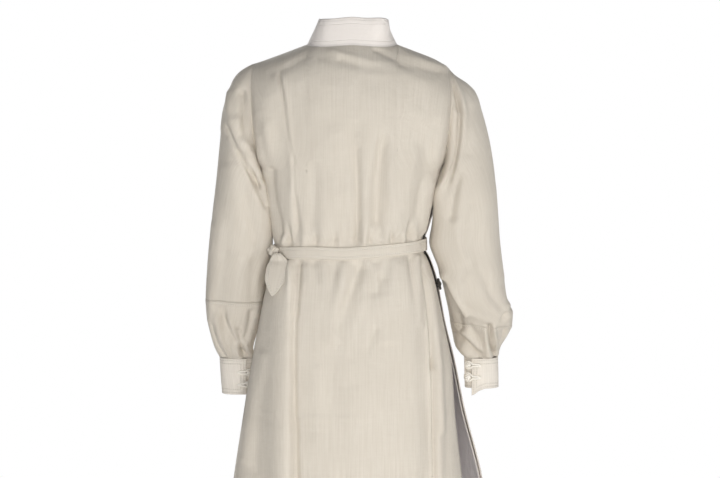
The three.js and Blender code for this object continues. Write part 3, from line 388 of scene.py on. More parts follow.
# The sleeves' own creases, as seen from behind (face 1) or in front (face -1)
sleeveCreases = {
    "left": {
        1: [
            (231, -92, 211, -188, 5, 3.0, 2.4, 7, 8), (206, -92, 203, -168, -3, -4.2, -3.2, 7, 7),
            (232, -158, 176, -262, 2, -2.6, -3.8, 4.5, 5), (213, -140, 178, -240, 2, 2.4, 2.8, 7, 6),
            (190, -212, 162, -300, 3, -2.4, -3.4, 5, 5), (181, -206, 160, -262, 3, 2.0, 2.6, 5, 5),
            (246, -170, 262, -330, -5, -1.8, -0.8, 14, 14), (222, -230, 206, -330, 5, 1.4, 0.8, 20, 18),
            (196, -290, 176, -372, 3, -1.8, -1.6, 9, 9), (236, -330, 256, -500, -4, -1.4, -1.8, 12, 16),
            (206, -400, 214, -486, 3, 1.2, 0.8, 18, 16), (184, -410, 190, -486, 2, -1.8, -1.6, 8, 9),
            # into the cuff
            (248, -510, 206, -598, 5, -2.6, -5.0, 6, 7), (234, -520, 196, -600, 5, 2.8, 3.6, 7, 6),
            (218, -548, 200, -602, 3, -3.2, -4.4, 4.5, 5), (258, -520, 232, -604, 5, 2.6, 3.2, 8, 7),
            (270, -540, 246, -602, 3, -2.6, -3.4, 6, 6), (192, -512, 204, -560, -2, -3.0, -2.2, 6, 7),
            (222, -578, 216, -606, 0, 2.2, 3.6, 4, 4), (212, -582, 208, -606, 0, -2.0, -3.6, 3, 3),
            (236, -582, 232, -606, 0, -2.0, -3.2, 3, 3),
        ],
        -1: [
            (228, -92, 208, -190, 5, 2.6, 2.0, 8, 8), (204, -96, 196, -170, -3, -3.4, -2.8, 7, 7),
            (236, -320, 206, -440, 5, -2.4, -1.4, 9, 9), (250, -340, 216, -470, 5, 2.4, 1.2, 10, 9),
            (190, -300, 214, -400, -5, -2.4, -1.4, 8, 8), (180, -356, 222, -420, -4, -3.4, -1.6, 7, 7),
            (176, -372, 228, -452, -4, 3.0, 1.0, 8, 7), (246, -510, 214, -598, 5, -2.6, -4.4, 7, 7),
            (230, -520, 206, -600, 4, 2.4, 3.4, 7, 6), (262, -520, 238, -602, 5, 2.4, 3.0, 8, 7),
            (200, -520, 200, -600, -2, -2.6, -3.6, 6, 6),
        ],
    },
    "right": {
        1: [
            # the sharp crease round the back of the armhole, and its notch
            (-174, -52, -199, -122, -5, -3.6, -5.0, 3.4, 4.6),
            (-200, -138, -178, -264, -5, -5.2, -1.2, 4, 4.6),
            (-184, -60, -208, -128, -5, 2.8, 3.4, 5, 6), (-207, -142, -190, -256, -4, 3.0, 1.0, 6, 7),
            (-190, -112, -202, -119, 0, -1.4, -0.4, 3, 3), (-194, -124, -206, -132, 0, 0.6, 0.2, 4, 4),
            (-236, -120, -262, -260, 5, -1.2, -1.0, 16, 16), (-200, -250, -186, -320, 2, -2.8, -3.0, 6, 7),
            (-214, -216, -206, -330, 3, 2.0, 1.4, 12, 12), (-232, -300, -226, -420, 3, -1.4, -1.6, 14, 14),
            (-250, -340, -282, -440, 4, 1.2, 1.2, 14, 14), (-196, -330, -214, -402, 3, 1.8, 1.6, 10, 10),
            # the overhang above the elbow, drawn towards the outer side
            (-174, -438, -216, -508, 2, 3.6, 3.4, 6, 5), (-176, -452, -206, -512, 2, -4.0, -3.0, 5, 6),
            (-222, -508, -286, -532, 2, 1.2, 0.8, 6, 6), (-246, -430, -286, -500, 4, -2.0, -2.6, 9, 9),
            (-290, -516, -306, -500, 0, -3.2, -2.4, 3, 3), (-300, -496, -298, -520, 0, 2.0, 1.6, 5, 5),
            # pleats between the seam and the cuff
            (-262, -538, -276, -600, 2, -4.8, -5.2, 3.4, 4), (-270, -540, -284, -602, 2, 3.6, 3.6, 5, 5),
            (-254, -542, -266, -602, 2, 3.0, 3.4, 5, 5), (-200, -556, -246, -602, -4, -3.4, -3.8, 5, 6),
            (-208, -546, -258, -600, -4, 3.0, 3.2, 6, 6), (-226, -538, -250, -590, -3, -2.4, -2.8, 5, 5),
            (-192, -572, -228, -604, -3, 2.6, 3.0, 6, 5), (-292, -550, -282, -604, -2, -2.8, -3.4, 5, 5),
            (-281, -584, -278, -606, 0, -3.6, -4.2, 2.6, 2.6),
        ],
        -1: [
            (-226, -92, -206, -190, -5, 2.6, 2.0, 8, 8), (-202, -96, -192, -176, 3, -3.6, -2.8, 7, 7),
            (-240, -320, -208, -440, -5, -2.6, -1.6, 10, 10), (-256, -340, -220, -470, -5, 2.6, 1.4, 10, 10),
            (-170, -330, -226, -404, 5, -3.6, -1.8, 7, 7), (-168, -350, -232, -436, 5, 3.2, 1.2, 8, 8),
            (-176, -392, -240, -470, 4, -3.4, -1.6, 7, 7), (-260, -520, -246, -600, -4, -2.8, -4.4, 7, 7),
            (-280, -530, -262, -602, -4, 2.6, 3.2, 7, 7), (-236, -530, -236, -600, 3, 2.4, 3.2, 6, 6),
            (-212, -540, -226, -600, 3, -2.6, -3.4, 6, 6),
        ],
    },
}


def signedPower(value, round_):
    return np.sign(value) * np.abs(value) ** (2 / round_)


def ringPoint(hand, ring, turn):
    c = np.cos(np.radians(turn))
    s = np.sin(np.radians(turn))
    round_ = np.where(c < 0, sleeveShape["inner"], sleeveShape["outer"])
    across = signedPower(c, round_)
    x = (ring["outX"] + ring["inX"]) / 2 + (ring["outX"] - ring["inX"]) / 2 * across
    z = (ring["outZ"] + ring["inZ"]) / 2 + (ring["outZ"] - ring["inZ"]) / 2 * across
    x = x * (1 + lowerArm["wider"] * smooth(lowerArm["from"], lowerArm["to"], -z))
    z = z + lowerArm["drop"] * np.minimum(0, z - belt["z"])
    return vec(sleeves[hand]["sign"] * x, ring["midY"] + ring["depth"] * signedPower(s, round_), z)


def armholePoint(hand, turn):
    sign = sleeves[hand]["sign"]
    h = body["armpitZ"] * (1 - np.cos(np.radians(turn))) / 2
    back = sheetPoint(1, sign + 0 * h, h)
    front = sheetPoint(-1, sign + 0 * h, h)
    ease = sleeveShape["armpitEase"] * clamp(-np.cos(np.radians(turn))) ** 4
    return np.where((turn <= 180)[..., None], back, front) + vec(sign * ease, 0, 0)


def bulges(rows, down, turn):
    height = np.zeros_like(turn)
    for atTurn, atDown, wide, long, lift in rows:
        height = height + lift * np.exp(-(((turn - atTurn) / wide) ** 2) - ((down - atDown) / long) ** 2)
    return height


def sleevePoint(hand, down, turn):
    down, turn = np.broadcast_arrays(np.asarray(down, float), np.asarray(turn, float))
    sleeve = sleeves[hand]
    keys = np.arange(len(sleeve["outX"]))
    names = ["outX", "outZ", "inX", "inZ", "midY", "depth"]
    ring = {name: curveThrough(keys, sleeve[name], down) for name in names}
    share = (1 - smooth(0, sleeveShape["fade"], down))[..., None]
    p = mix(ringPoint(hand, ring, turn), armholePoint(hand, turn), share)
    middle = (ringPoint(hand, ring, 0 * turn) + ringPoint(hand, ring, 0 * turn + 180)) / 2
    lift = bulges(sleeve["folds"] + sleeve["closeIn"], down, turn)
    lift = lift * smooth(sleeveShape["foldsFrom"], sleeveShape["foldsTo"], down)
    # loose cloth under the arm lies up against the body
    nearer = bulges(sleeve["sideways"], down, turn) * smooth(0, sleeveShape["nearTo"], down) * sleeve["sign"]
    return p + unit(p - middle) * lift[..., None] - vec(nearer, 0, 0)


# Fine grids of the five sheets that make the body and sleeves. Where two of them meet along the shoulder,
# armhole or side, their rims have the same points and are joined while the cloth is softened.
fine = {"hemRows": 52, "lowRows": 92, "lapRows": 18, "armRows": 46, "side": 54, "neck": 130, "lap": 180,
        "under": 84, "sleeveRows": 124, "extensionRows": 42, "plainFrom": -835, "lapFrom": -345}


def sheetRows():
    low = np.concatenate([np.linspace(body["hemZ"], fine["plainFrom"], fine["hemRows"])[:-1],
                          np.linspace(fine["plainFrom"], fine["lapFrom"], fine["lowRows"])])
    middle = np.linspace(fine["lapFrom"], body["armpitZ"], fine["lapRows"])[1:-1]
    turn = np.linspace(0, math.pi, fine["armRows"] + 1)
    return np.concatenate([low, middle, body["armpitZ"] * (1 + np.cos(turn)) / 2])


def eased(a, b, count):  # closer together towards b
    return mix(a, b, np.sin(np.linspace(0, math.pi / 2, count)))


sideU = np.linspace(neckU, 1, fine["side"])[1:]
neckMiddle = neckU * np.sin(np.linspace(-math.pi / 2, math.pi / 2, fine["neck"]))
columnsOf = {
    "back": np.concatenate([-sideU[::-1], neckMiddle, sideU]),
    "over": np.concatenate([eased(-1, neckU, fine["lap"]), sideU]),
    "under": np.concatenate([-sideU[::-1], -eased(-0.26, neckU, fine["under"])[::-1]]),
}
hRows = sheetRows()


def sheetUH(name):
    u = columnsOf[name]
    top = {"back": backTop, "over": lambda v: frontTop(v, 1), "under": lambda v: frontTop(v, -1)}[name](u)
    low = fine["lapFrom"]
    level = hRows[:, None]
    h = np.where(level <= low, level, low + (level - low) * (top[None, :] - low) / -low)
    return np.broadcast_to(u[None, :], h.shape), h


def plainSheet(name):
    u, h = sheetUH(name)
    side = 1 if name == "back" else -1
    lift = overLift(u, h) if name == "over" else np.zeros_like(u)
    return sheetPoint(side, u, h) + outwardAt(side, u, h) * lift[..., None], u, h


turns = np.linspace(0, 360, 2 * fine["armRows"] + 1)[:-1]
softening = {"steps": 60, "share": 0.5, "armRun": 140, "armFade": 22, "ridgeFade": 20, "ridgeFrom": 0.03,
             "ridgeTo": 0.22, "below": 14, "above": 12, "ringRun": 27, "ringFade": 24, "joinWithin": 1.5}
grids = {}
reach = {}  # how far each point may move while the cloth is softened
for name in ["back", "over", "under"]:
    grids[name], u, h = plainSheet(name)
    nearArm = np.exp(-(((1 - np.abs(u)) * softening["armRun"] / softening["armFade"]) ** 2))
    nearRidge = np.exp(-((h / softening["ridgeFade"]) ** 2))
    nearRidge = nearRidge * smooth(neckU + softening["ridgeFrom"], neckU + softening["ridgeTo"], np.abs(u))
    above = smooth(body["armpitZ"] - softening["below"], body["armpitZ"] + softening["above"], h)
    sewn = np.ones_like(u) if name == "back" else smooth(0.2, 0.5, u if name == "over" else -u)
    reach[name] = clamp(nearArm + nearRidge) * above * sewn
for hand in sleeves:
    rows = fine["sleeveRows"] + fine["extensionRows"]
    seam = sleeves[hand]["seam"]
    last = len(sleeves[hand]["outX"]) - 1
    down = np.concatenate([np.linspace(0, seam, fine["sleeveRows"] + 1),
                           np.linspace(seam, last, fine["extensionRows"])[1:]])
    sleeves[hand]["down"] = down
    grids[hand] = sleevePoint(hand, down[:, None], turns[None, :])
    fromSeam = down[:, None] * softening["ringRun"] / softening["ringFade"]
    reach[hand] = np.exp(-(fromSeam**2)) + 0 * turns[None, :]
print("plain sheets:", {name: grid.shape for name, grid in grids.items()})

# One numbering for every point of the five grids
starts = {}
total = 0
for name, grid in grids.items():
    starts[name] = total
    total += grid.shape[0] * grid.shape[1]


def numberOf(name):
    rows, columns = grids[name].shape[:2]
    return starts[name] + np.arange(rows * columns).reshape(rows, columns)


numbers = {name: numberOf(name) for name in grids}
armRows = fine["armRows"]
pairs = []
for hand, edge, frontName in [("left", -1, "over"), ("right", 0, "under")]:
    around = numbers[hand][0]
    pairs.append((numbers["back"][-armRows - 1:, edge][::-1], around[: armRows + 1]))
    frontEdge = numbers[frontName][-armRows - 1:, edge][::-1]
    pairs.append((frontEdge[:-1], np.concatenate([around[:1], around[armRows + 1:][::-1]])))
    pairs.append((numbers["back"][:-armRows, edge], numbers[frontName][:-armRows, edge]))
pairs.append((numbers["back"][-1, -len(sideU) - 1:], numbers["over"][-1, -len(sideU) - 1:]))
pairs.append((numbers["back"][-1, : len(sideU) + 1], numbers["under"][-1, : len(sideU) + 1]))

allPoints = np.concatenate([grid.reshape(-1, 3) for grid in grids.values()])
allReach = np.concatenate([np.broadcast_to(reach[n], grids[n].shape[:2]).ravel() for n in grids])
owner = np.arange(total)
for a, b in pairs:
    near = np.linalg.norm(allPoints[a] - allPoints[b], axis=1) < softening["joinWithin"]
    low = np.minimum(owner[a[near]], owner[b[near]])
    owner[a[near]] = low
    owner[b[near]] = low
owner = owner[owner[owner]]
count = np.bincount(owner, minlength=total).astype(float)
held = np.maximum(count, 1)


def gathered(values):  # the mean of every set of joined points, for each of them
    sums = np.stack([np.bincount(owner, values[:, k], minlength=total) for k in range(3)], 1)
    return sums / held[:, None]


edges = []
for name, number in numbers.items():
    edges.append((number[1:], number[:-1]))
    edges.append((number[:, 1:], number[:, :-1]))
    if name in sleeves:
        edges.append((number[:, 0], number[:, -1]))
edgeA = owner[np.concatenate([a.ravel() for a, b in edges])]
edgeB = owner[np.concatenate([b.ravel() for a, b in edges])]
degree = np.maximum(np.bincount(edgeA, minlength=total) + np.bincount(edgeB, minlength=total), 1)
soft = gathered(allPoints)
reachOf = np.bincount(owner, allReach, minlength=total) / held
for _ in range(softening["steps"]):
    summed = np.stack([np.bincount(edgeA, soft[edgeB, k], minlength=total)
                       + np.bincount(edgeB, soft[edgeA, k], minlength=total) for k in range(3)], 1)
    soft += (summed / degree[:, None] - soft) * (softening["share"] * reachOf)[:, None]


def facing(points):  # outward directions, shared where sheets are joined
    total3 = np.zeros_like(points)
    for name, number in numbers.items():
        p = points[owner[number]]
        if name in sleeves:
            across = np.roll(p, -1, axis=1) - np.roll(p, 1, axis=1)
        else:
            across = np.gradient(p, axis=1)
        up = np.gradient(p, axis=0)
        out = np.cross(across, up)
        middle = out[out.shape[0] // 3, out.shape[1] // 4]
        where = p[out.shape[0] // 3, out.shape[1] // 4]
        if name in sleeves:
            centre = p[out.shape[0] // 3].mean(axis=0)
            sign = np.sign(np.dot(middle, where - centre))
        else:
            sign = np.sign(middle[1] * where[1])
        total3[number.ravel()] = unit(out.reshape(-1, 3)) * sign
    return unit(gathered(total3))


# The left shoulder is rounder and the right one slopes more
shoulders = [{"x": 214, "z": -60, "wide": 29, "lift": 5.5}, {"x": 242, "z": -96, "wide": 20, "lift": -2.5},
             {"x": -196, "z": -46, "wide": 30, "lift": -9}]
normals = facing(soft)
for shoulder in shoulders:
    gone = np.hypot(soft[:, 0] - shoulder["x"], soft[:, 2] - shoulder["z"]) / shoulder["wide"]
    soft += normals * (shoulder["lift"] * np.exp(-(gone**2)))[:, None]
normals = facing(soft)
allSoft = soft[owner]
allNormals = normals[owner]


def twiceAsMany(rings):  # a new point between every two round each ring
    nearest = rings + np.roll(rings, -1, axis=1)
    between = (9 * nearest - np.roll(rings, 1, axis=1) - np.roll(rings, -2, axis=1)) / 16
    return np.stack([rings, between], axis=2).reshape(rings.shape[0], -1, 3)


def shaped(name):
    number = numbers[name]
    p = allSoft[number]
    n = allNormals[number]
    if name in sleeves:
        p = twiceAsMany(p)
        n = unit(twiceAsMany(n))
    x, z = p[..., 0], p[..., 2]
    if name in sleeves:
        down = sleeves[name]["down"][:, None]
        lift = np.zeros_like(x)
        for face, rows in sleeveCreases[name].items():
            seen = smooth(-0.25, 0.45, face * n[..., 1]) * creaseScale["lift"]
            lift = lift + creaseLift(rows, x, z, 14, creaseScale["wide"]) * seen
        last = len(sleeves[name]["outX"]) - 1
        atCuff = 1 - sleeveShape["cuffCalm"] * smooth(last - 0.6, last, down)
        return p + n * (lift * atCuff * smooth(0, sleeveShape["creasesTo"], down))[..., None], n
    side = 1 if name == "back" else -1
    u, h = sheetUH(name)
    fromTop = smooth(0, 12, sheetTopDistance(p))
    rows = backCreases if side > 0 else frontCreases
    lift = creaseLift(rows, x, z, 12, creaseScale["wide"]) * clearOfSash(x, z, 0.5, 6)
    lift = lift * (1 - np.abs(u) ** 14) * fromTop * creaseScale["lift"]
    deep = side * foldAlong(side, p) * foldShare(u, z) * creaseScale["folds"]
    return p + vec(0, deep, 0) + n * lift[..., None], n


def sheetTopDistance(p):
    steps = np.linalg.norm(np.diff(p, axis=0), axis=-1)
    gone = np.concatenate([np.zeros((1, p.shape[1])), np.cumsum(steps, axis=0)])
    return gone[-1][None, :] - gone


outer = {name: shaped(name) for name in grids}
print("sheets shaped with their creases")


# Materials
def linear(colour):  # an sRGB hex value as linear numbers
    parts = [int(colour[i:i + 2], 16) / 255 for i in (1, 3, 5)]
    return (*[c / 12.92 if c <= 0.04045 else ((c + 0.055) / 1.055) ** 2.4 for c in parts], 1.0)


def addNode(tree, kind, inputs=None, **settings):  # a node with its settings and what feeds it
    node = tree.nodes.new(kind)
    for key, value in settings.items():
        setattr(node, key, value)
    for key, value in (inputs or {}).items():
        if isinstance(value, bpy.types.NodeSocket):
            tree.links.new(value, node.inputs[key])
        else:
            node.inputs[key].default_value = value
    return node


def emptyMaterial(name):
    material = bpy.data.materials.new(name)
    material.use_nodes = True
    material.node_tree.nodes.clear()
    return material, material.node_tree


def clothMaterial(name, look):  # plain-woven linen: matt, with thick and thin threads both ways
    material, tree = emptyMaterial(name)
    weaveAt = addNode(tree, "ShaderNodeUVMap", uv_map="weave").outputs["UV"]
    slubs = []
    for kind, size in look["slubs"].items():  # thick stretches of warp and weft threads
        scaled = addNode(tree, "ShaderNodeMapping", {
            "Vector": weaveAt, "Scale": (1 / size[0], 1 / size[1], 1)})
        slubs.append(addNode(tree, "ShaderNodeTexNoise", {
            "Vector": scaled.outputs["Vector"], "Scale": 1.0, "Detail": 3.0,
            "Roughness": 0.62}).outputs["Fac"])
    bothSlubs = addNode(tree, "ShaderNodeMix", {0: look["weftShare"], 2: slubs[0], 3: slubs[1]}).outputs[0]
    # The threads are 0.7 mm apart, drawn 1.1 mm apart so that they show
    pitch = look["threadPitch"]
    threads = []
    for direction in ["X", "Y"]:
        threads.append(addNode(tree, "ShaderNodeTexWave", {
            "Vector": weaveAt, "Scale": math.pi / pitch / 10, "Distortion": 1.1, "Detail": 1.0,
            "Detail Scale": 1.5}, bands_direction=direction).outputs["Fac"])
    weave = addNode(tree, "ShaderNodeMath", {0: threads[0], 1: threads[1]}, operation="MULTIPLY").outputs[0]
    where = addNode(tree, "ShaderNodeTexCoord").outputs["Object"]
    clouds = addNode(tree, "ShaderNodeTexNoise", {
        "Vector": where, "Scale": look["cloudScale"], "Detail": 2.0, "Roughness": 0.5}).outputs["Fac"]
    crumple = addNode(tree, "ShaderNodeTexNoise", {
        "Vector": where, "Scale": look["crumpleScale"], "Detail": 3.0, "Roughness": 0.55}).outputs["Fac"]

    # Rows of stitches beside the sewn rims: the rim map has the way along in U and the distance in V
    rim = addNode(tree, "ShaderNodeSeparateXYZ", {
        0: addNode(tree, "ShaderNodeUVMap", uv_map="rim").outputs["UV"]})
    stitchLines = None
    for inset in look["stitchRows"]:
        away = addNode(tree, "ShaderNodeMath", {
            0: rim.outputs["Y"], 1: inset}, operation="SUBTRACT").outputs[0]
        away = addNode(tree, "ShaderNodeMath", {0: away}, operation="ABSOLUTE").outputs[0]
        line = addNode(tree, "ShaderNodeMapRange", {
            "Value": away, "From Min": look["stitchHalf"], "From Max": look["stitchHalf"] * 2.2,
            "To Min": 1.0, "To Max": 0.0}, interpolation_type="SMOOTHSTEP").outputs[0]
        stitchLines = line if stitchLines is None else addNode(
            tree, "ShaderNodeMath", {0: stitchLines, 1: line}, operation="MAXIMUM").outputs[0]
    steps = addNode(tree, "ShaderNodeMath", {
        0: rim.outputs["X"], 1: 2 * math.pi / look["stitchStep"]}, operation="MULTIPLY").outputs[0]
    dashes = addNode(tree, "ShaderNodeMath", {0: steps}, operation="SINE").outputs[0]
    dashes = addNode(tree, "ShaderNodeMapRange", {
        "Value": dashes, "From Min": -0.75, "From Max": -0.35, "To Min": 0.0, "To Max": 1.0}).outputs[0]
    stitches = addNode(tree, "ShaderNodeMath", {0: stitchLines, 1: dashes}, operation="MULTIPLY").outputs[0]

    tone = addNode(tree, "ShaderNodeMapRange", {
        "Value": bothSlubs, "From Min": 0.36, "From Max": 0.64, "To Min": 0.0, "To Max": 1.0}).outputs[0]
    colour = addNode(tree, "ShaderNodeMix", {
        0: tone, 6: linear(look["thin"]), 7: linear(look["thick"])}, data_type="RGBA").outputs[2]
    cloudy = addNode(tree, "ShaderNodeMapRange", {
        "Value": clouds, "From Min": 0.3, "From Max": 0.7,
        "To Min": 0.0, "To Max": look["cloudShare"]}).outputs[0]
    # Painted shade: the stitch lines are darkened towards the groove colour, standing in for shade in the
    # sunken seam
    grooveShaded = addNode(tree, "ShaderNodeMath", {
        0: stitchLines, 1: look["grooveShadeShare"]}, operation="MULTIPLY").outputs[0]
    for share, over in [(cloudy, "cloud"), (grooveShaded, "grooveShade"), (stitches, "thread")]:
        colour = addNode(tree, "ShaderNodeMix", {
            0: share, 6: colour, 7: linear(look[over])}, data_type="RGBA").outputs[2]

    sunk = addNode(tree, "ShaderNodeMath", {0: stitchLines, 1: -1.0}, operation="MULTIPLY").outputs[0]
    reliefs = [(crumple, "crumpleDeep"), (bothSlubs, "slubDeep"), (weave, "weaveDeep"), (sunk, "stitchDeep")]
    bump = None
    for height, deep in reliefs:
        below = {} if bump is None else {"Normal": bump}
        bump = addNode(tree, "ShaderNodeBump", {
            "Height": height, "Strength": 1.0, "Distance": look[deep], **below}).outputs["Normal"]
    rough = addNode(tree, "ShaderNodeMapRange", {
        "Value": bothSlubs, "From Min": 0.3, "From Max": 0.7, "To Min": 0.98, "To Max": 0.84}).outputs[0]
    shader = addNode(tree, "ShaderNodeBsdfPrincipled", {
        "Base Color": colour, "Roughness": rough, "Normal": bump, "IOR": 1.46,
        "Sheen Weight": look["sheen"], "Sheen Roughness": 0.5})
    addNode(tree, "ShaderNodeOutputMaterial", {"Surface": shader.outputs["BSDF"]})
    return material


def cordMaterial(name, look):  # a bias strip of cloth rolled tight and sewn into a cord
    material, tree = emptyMaterial(name)
    where = addNode(tree, "ShaderNodeTexCoord").outputs["Object"]
    fibres = addNode(tree, "ShaderNodeTexNoise", {
        "Vector": where, "Scale": look["fibreScale"], "Detail": 4.0, "Roughness": 0.6}).outputs["Fac"]
    colour = addNode(tree, "ShaderNodeMix", {
        0: fibres, 6: linear(look["dark"]), 7: linear(look["light"])}, data_type="RGBA").outputs[2]
    bump = addNode(tree, "ShaderNodeBump", {
        "Height": fibres, "Strength": 1.0, "Distance": look["fibreDeep"]}).outputs["Normal"]
    shader = addNode(tree, "ShaderNodeBsdfPrincipled", {
        "Base Color": colour, "Roughness": 0.85, "Normal": bump, "IOR": 1.46,
        "Sheen Weight": look["sheen"], "Sheen Roughness": 0.5})
    addNode(tree, "ShaderNodeOutputMaterial", {"Surface": shader.outputs["BSDF"]})
    return material


# The groove colours below are painted shade along the sunken stitch lines
linenLook = {
    "thin": "#cec5b7", "thick": "#d6cec1", "cloud": "#c5bcae", "cloudShare": 0.4, "grooveShade": "#9c9284",
    "grooveShadeShare": 0.34,
    "thread": "#ddd6ca", "slubs": {"warp": (0.0026, 0.09), "weft": (0.05, 0.0034)}, "weftShare": 0.22,
    "threadPitch": 0.0011, "cloudScale": 7.0, "crumpleScale": 24.0, "crumpleDeep": 0.0030, "slubDeep": 0.0004,
    "weaveDeep": 0.00014, "stitchRows": [0.0052], "stitchHalf": 0.0005, "stitchStep": 0.0045,
    "stitchDeep": 0.0005, "sheen": 0.12,
}
collarLook = dict(linenLook, thin="#e8e1da", thick="#eee7e1", cloud="#e0d8d0", grooveShade="#c4bbb1",
                  thread="#efe9e3", stitchRows=[0.0045, 0.0115], crumpleDeep=0.0018, slubDeep=0.0002,
                  weftShare=0.6)
cuffLook = dict(linenLook, thin="#ddd5ca", thick="#e9e2d7", cloud="#d6cec1", stitchRows=[0.0042, 0.0105])
# Painted light: the inner faces get a lighter, greyer-mauve copy of the same linen, standing in for light
# that reaches the shaded insides
insidePaintedLightLook = dict(linenLook, thin="#e4dddb", thick="#eee8e6", cloud="#dad3d1")
materials = {
    "robe": clothMaterial("undyedLinen", linenLook),
    "inside": clothMaterial("undyedLinenInsidePaintedLight", insidePaintedLightLook),
    "collar": clothMaterial("bleachedLinen", collarLook),
    "cuff": clothMaterial("undyedLinenDoubled", cuffLook),
    "cord": cordMaterial("rolledLinenCord", {
        "dark": "#e4ddd1", "light": "#fbf7ef", "fibreScale": 900.0, "fibreDeep": 0.0003, "sheen": 0.15}),
    # Painted shade: near-black cord for the side frog, standing in for the deep shade it sits in at the side
    # slit
    "paintedShadeCord": cordMaterial("rolledCordPaintedShade", {
        "dark": "#1f1b18", "light": "#443d37", "fibreScale": 700.0, "fibreDeep": 0.0003, "sheen": 0.3}),
}
print("materials made")


# Cloth meshes: a grid of outer points, the same points set in by the cloth's thickness, and closed rims
def arcs(grid, closed):
    p = np.concatenate([grid, grid[:, :1]], axis=1) if closed else grid
    alongU = np.linalg.norm(np.diff(p, axis=1), axis=-1)
    alongU = np.concatenate([np.zeros((p.shape[0], 1)), np.cumsum(alongU, axis=1)], axis=1)
    alongV = np.linalg.norm(np.diff(p, axis=0), axis=-1)
    alongV = np.concatenate([np.zeros((1, p.shape[1])), np.cumsum(alongV, axis=0)], axis=0)
    return alongU, alongV


def rimMap(alongU, alongV, rims):
    far = np.full_like(alongU, 900.0)
    along, away = far.copy(), far.copy()
    choices = {
        "first": (alongU, alongV), "last": (alongU, alongV[-1][None, :] - alongV),
        "start": (alongV, alongU), "end": (alongV, alongU[:, -1][:, None] - alongU),
    }
    for rim in rims:
        way, gap = choices[rim]
        nearer = gap < away
        along = np.where(nearer, way, along)
        away = np.where(nearer, gap, away)
    return along, away


def clothPiece(name, grid, outward, thick, material, closed=False, rims=(), inside=None):
    rows, columns = grid.shape[:2]
    inner = grid - outward * thick
    points = np.concatenate([grid.reshape(-1, 3), inner.reshape(-1, 3)]) * mm
    alongU, alongV = arcs(grid, closed)
    middle = alongU.shape[1] // 2
    weaveU = alongU - alongU[:, middle][:, None]
    rimU, rimV = rimMap(alongU, alongV, rims)
    strips = columns if closed else columns - 1
    i, j = np.meshgrid(np.arange(rows - 1), np.arange(strips), indexing="ij")
    ring = [(i, j), (i, j + 1), (i + 1, j + 1), (i + 1, j)]
    cornerI = np.stack([a for a, _ in ring], -1).reshape(-1, 4)
    cornerJ = np.stack([b for _, b in ring], -1).reshape(-1, 4)
    first = cornerI * columns + cornerJ % columns
    a, b, c = (points[first[:, k]] for k in range(3))
    upright = np.sum(np.cross(b - a, c - a) * outward.reshape(-1, 3)[first[:, 0]]) > 0
    order = [0, 1, 2, 3] if upright else [3, 2, 1, 0]
    outerFaces = np.stack([first[:, k] for k in order], 1)
    innerFaces = np.stack([first[:, k] for k in order[::-1]], 1) + rows * columns
    uvI = [np.stack([cornerI[:, k] for k in o], 1) for o in (order, order[::-1])]
    uvJ = [np.stack([cornerJ[:, k] for k in o], 1) for o in (order, order[::-1])]

    def rimFaces(ii, jj):
        at = ii * columns + jj % columns
        offset = rows * columns
        quad = np.stack([at[:-1], at[1:], at[1:] + offset, at[:-1] + offset], 1)
        qi = np.stack([ii[:-1], ii[1:], ii[1:], ii[:-1]], 1)
        qj = np.stack([jj[:-1], jj[1:], jj[1:], jj[:-1]], 1)
        centre = points[quad].mean(axis=1)
        p0, p1, p2 = (points[quad[:, k]] for k in range(3))
        inSheet = points[np.clip(ii[0], 1, rows - 2) * columns + np.clip(jj[0], 1, columns - 2)]
        side = np.dot(np.cross(p1[0] - p0[0], p2[0] - p0[0]), centre[0] - inSheet)
        if side < 0:
            quad, qi, qj = quad[:, ::-1], qi[:, ::-1], qj[:, ::-1]
        return quad, qi, qj

    everyJ = np.arange(strips + 1)
    everyI = np.arange(rows)
    rimParts = [rimFaces(0 * everyJ, everyJ), rimFaces(0 * everyJ + rows - 1, everyJ)]
    if not closed:
        rimParts += [rimFaces(everyI, 0 * everyI), rimFaces(everyI, 0 * everyI + columns - 1)]
    faces = np.concatenate([outerFaces, innerFaces] + [part[0] for part in rimParts])
    faceI = np.concatenate(uvI + [part[1] for part in rimParts])
    faceJ = np.concatenate(uvJ + [part[2] for part in rimParts])

    mesh = bpy.data.meshes.new(name)
    mesh.from_pydata(points.tolist(), [], faces.tolist())
    for layer, us, vs in [("weave", weaveU, alongV), ("rim", rimU, rimV)]:
        uv = mesh.uv_layers.new(name=layer)
        values = np.stack([us[faceI, faceJ], vs[faceI, faceJ]], -1).reshape(-1) * mm
        uv.data.foreach_set("uv", values.astype(np.float32))
    mesh.materials.append(materials[material])
    if inside:
        mesh.materials.append(materials[inside])
        index = np.zeros(len(faces), dtype=np.int32)
        index[len(outerFaces):len(outerFaces) + len(innerFaces)] = 1
        mesh.polygons.foreach_set("material_index", index)
    mesh.polygons.foreach_set("use_smooth", np.arange(len(faces)) < 2 * len(outerFaces))
    mesh.update()
    piece = addObject(name, mesh)
    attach(piece, "root")
    d1 = grid[1:, 1:] - grid[:-1, :-1]
    d2 = grid[1:, :-1] - grid[:-1, 1:]
    area = np.linalg.norm(np.cross(d1, d2), axis=-1).sum() / 2 * mm * mm
    print(f"{name}: {len(faces)} faces, {area:.3f} square metres, "
          f"{alongU[:, -1].max() * mm:.3f} by {alongV[-1].max() * mm:.3f} m")
    return piece


def gridOut(grid, away, closed=False):  # outward directions of a grid, pointing along away on the whole
    if closed:
        across = np.roll(grid, -1, axis=1) - np.roll(grid, 1, axis=1)
    else:
        across = np.gradient(grid, axis=1)
    out = unit(np.cross(across, np.gradient(grid, axis=0)))
    return out * np.sign(np.sum(out * away))


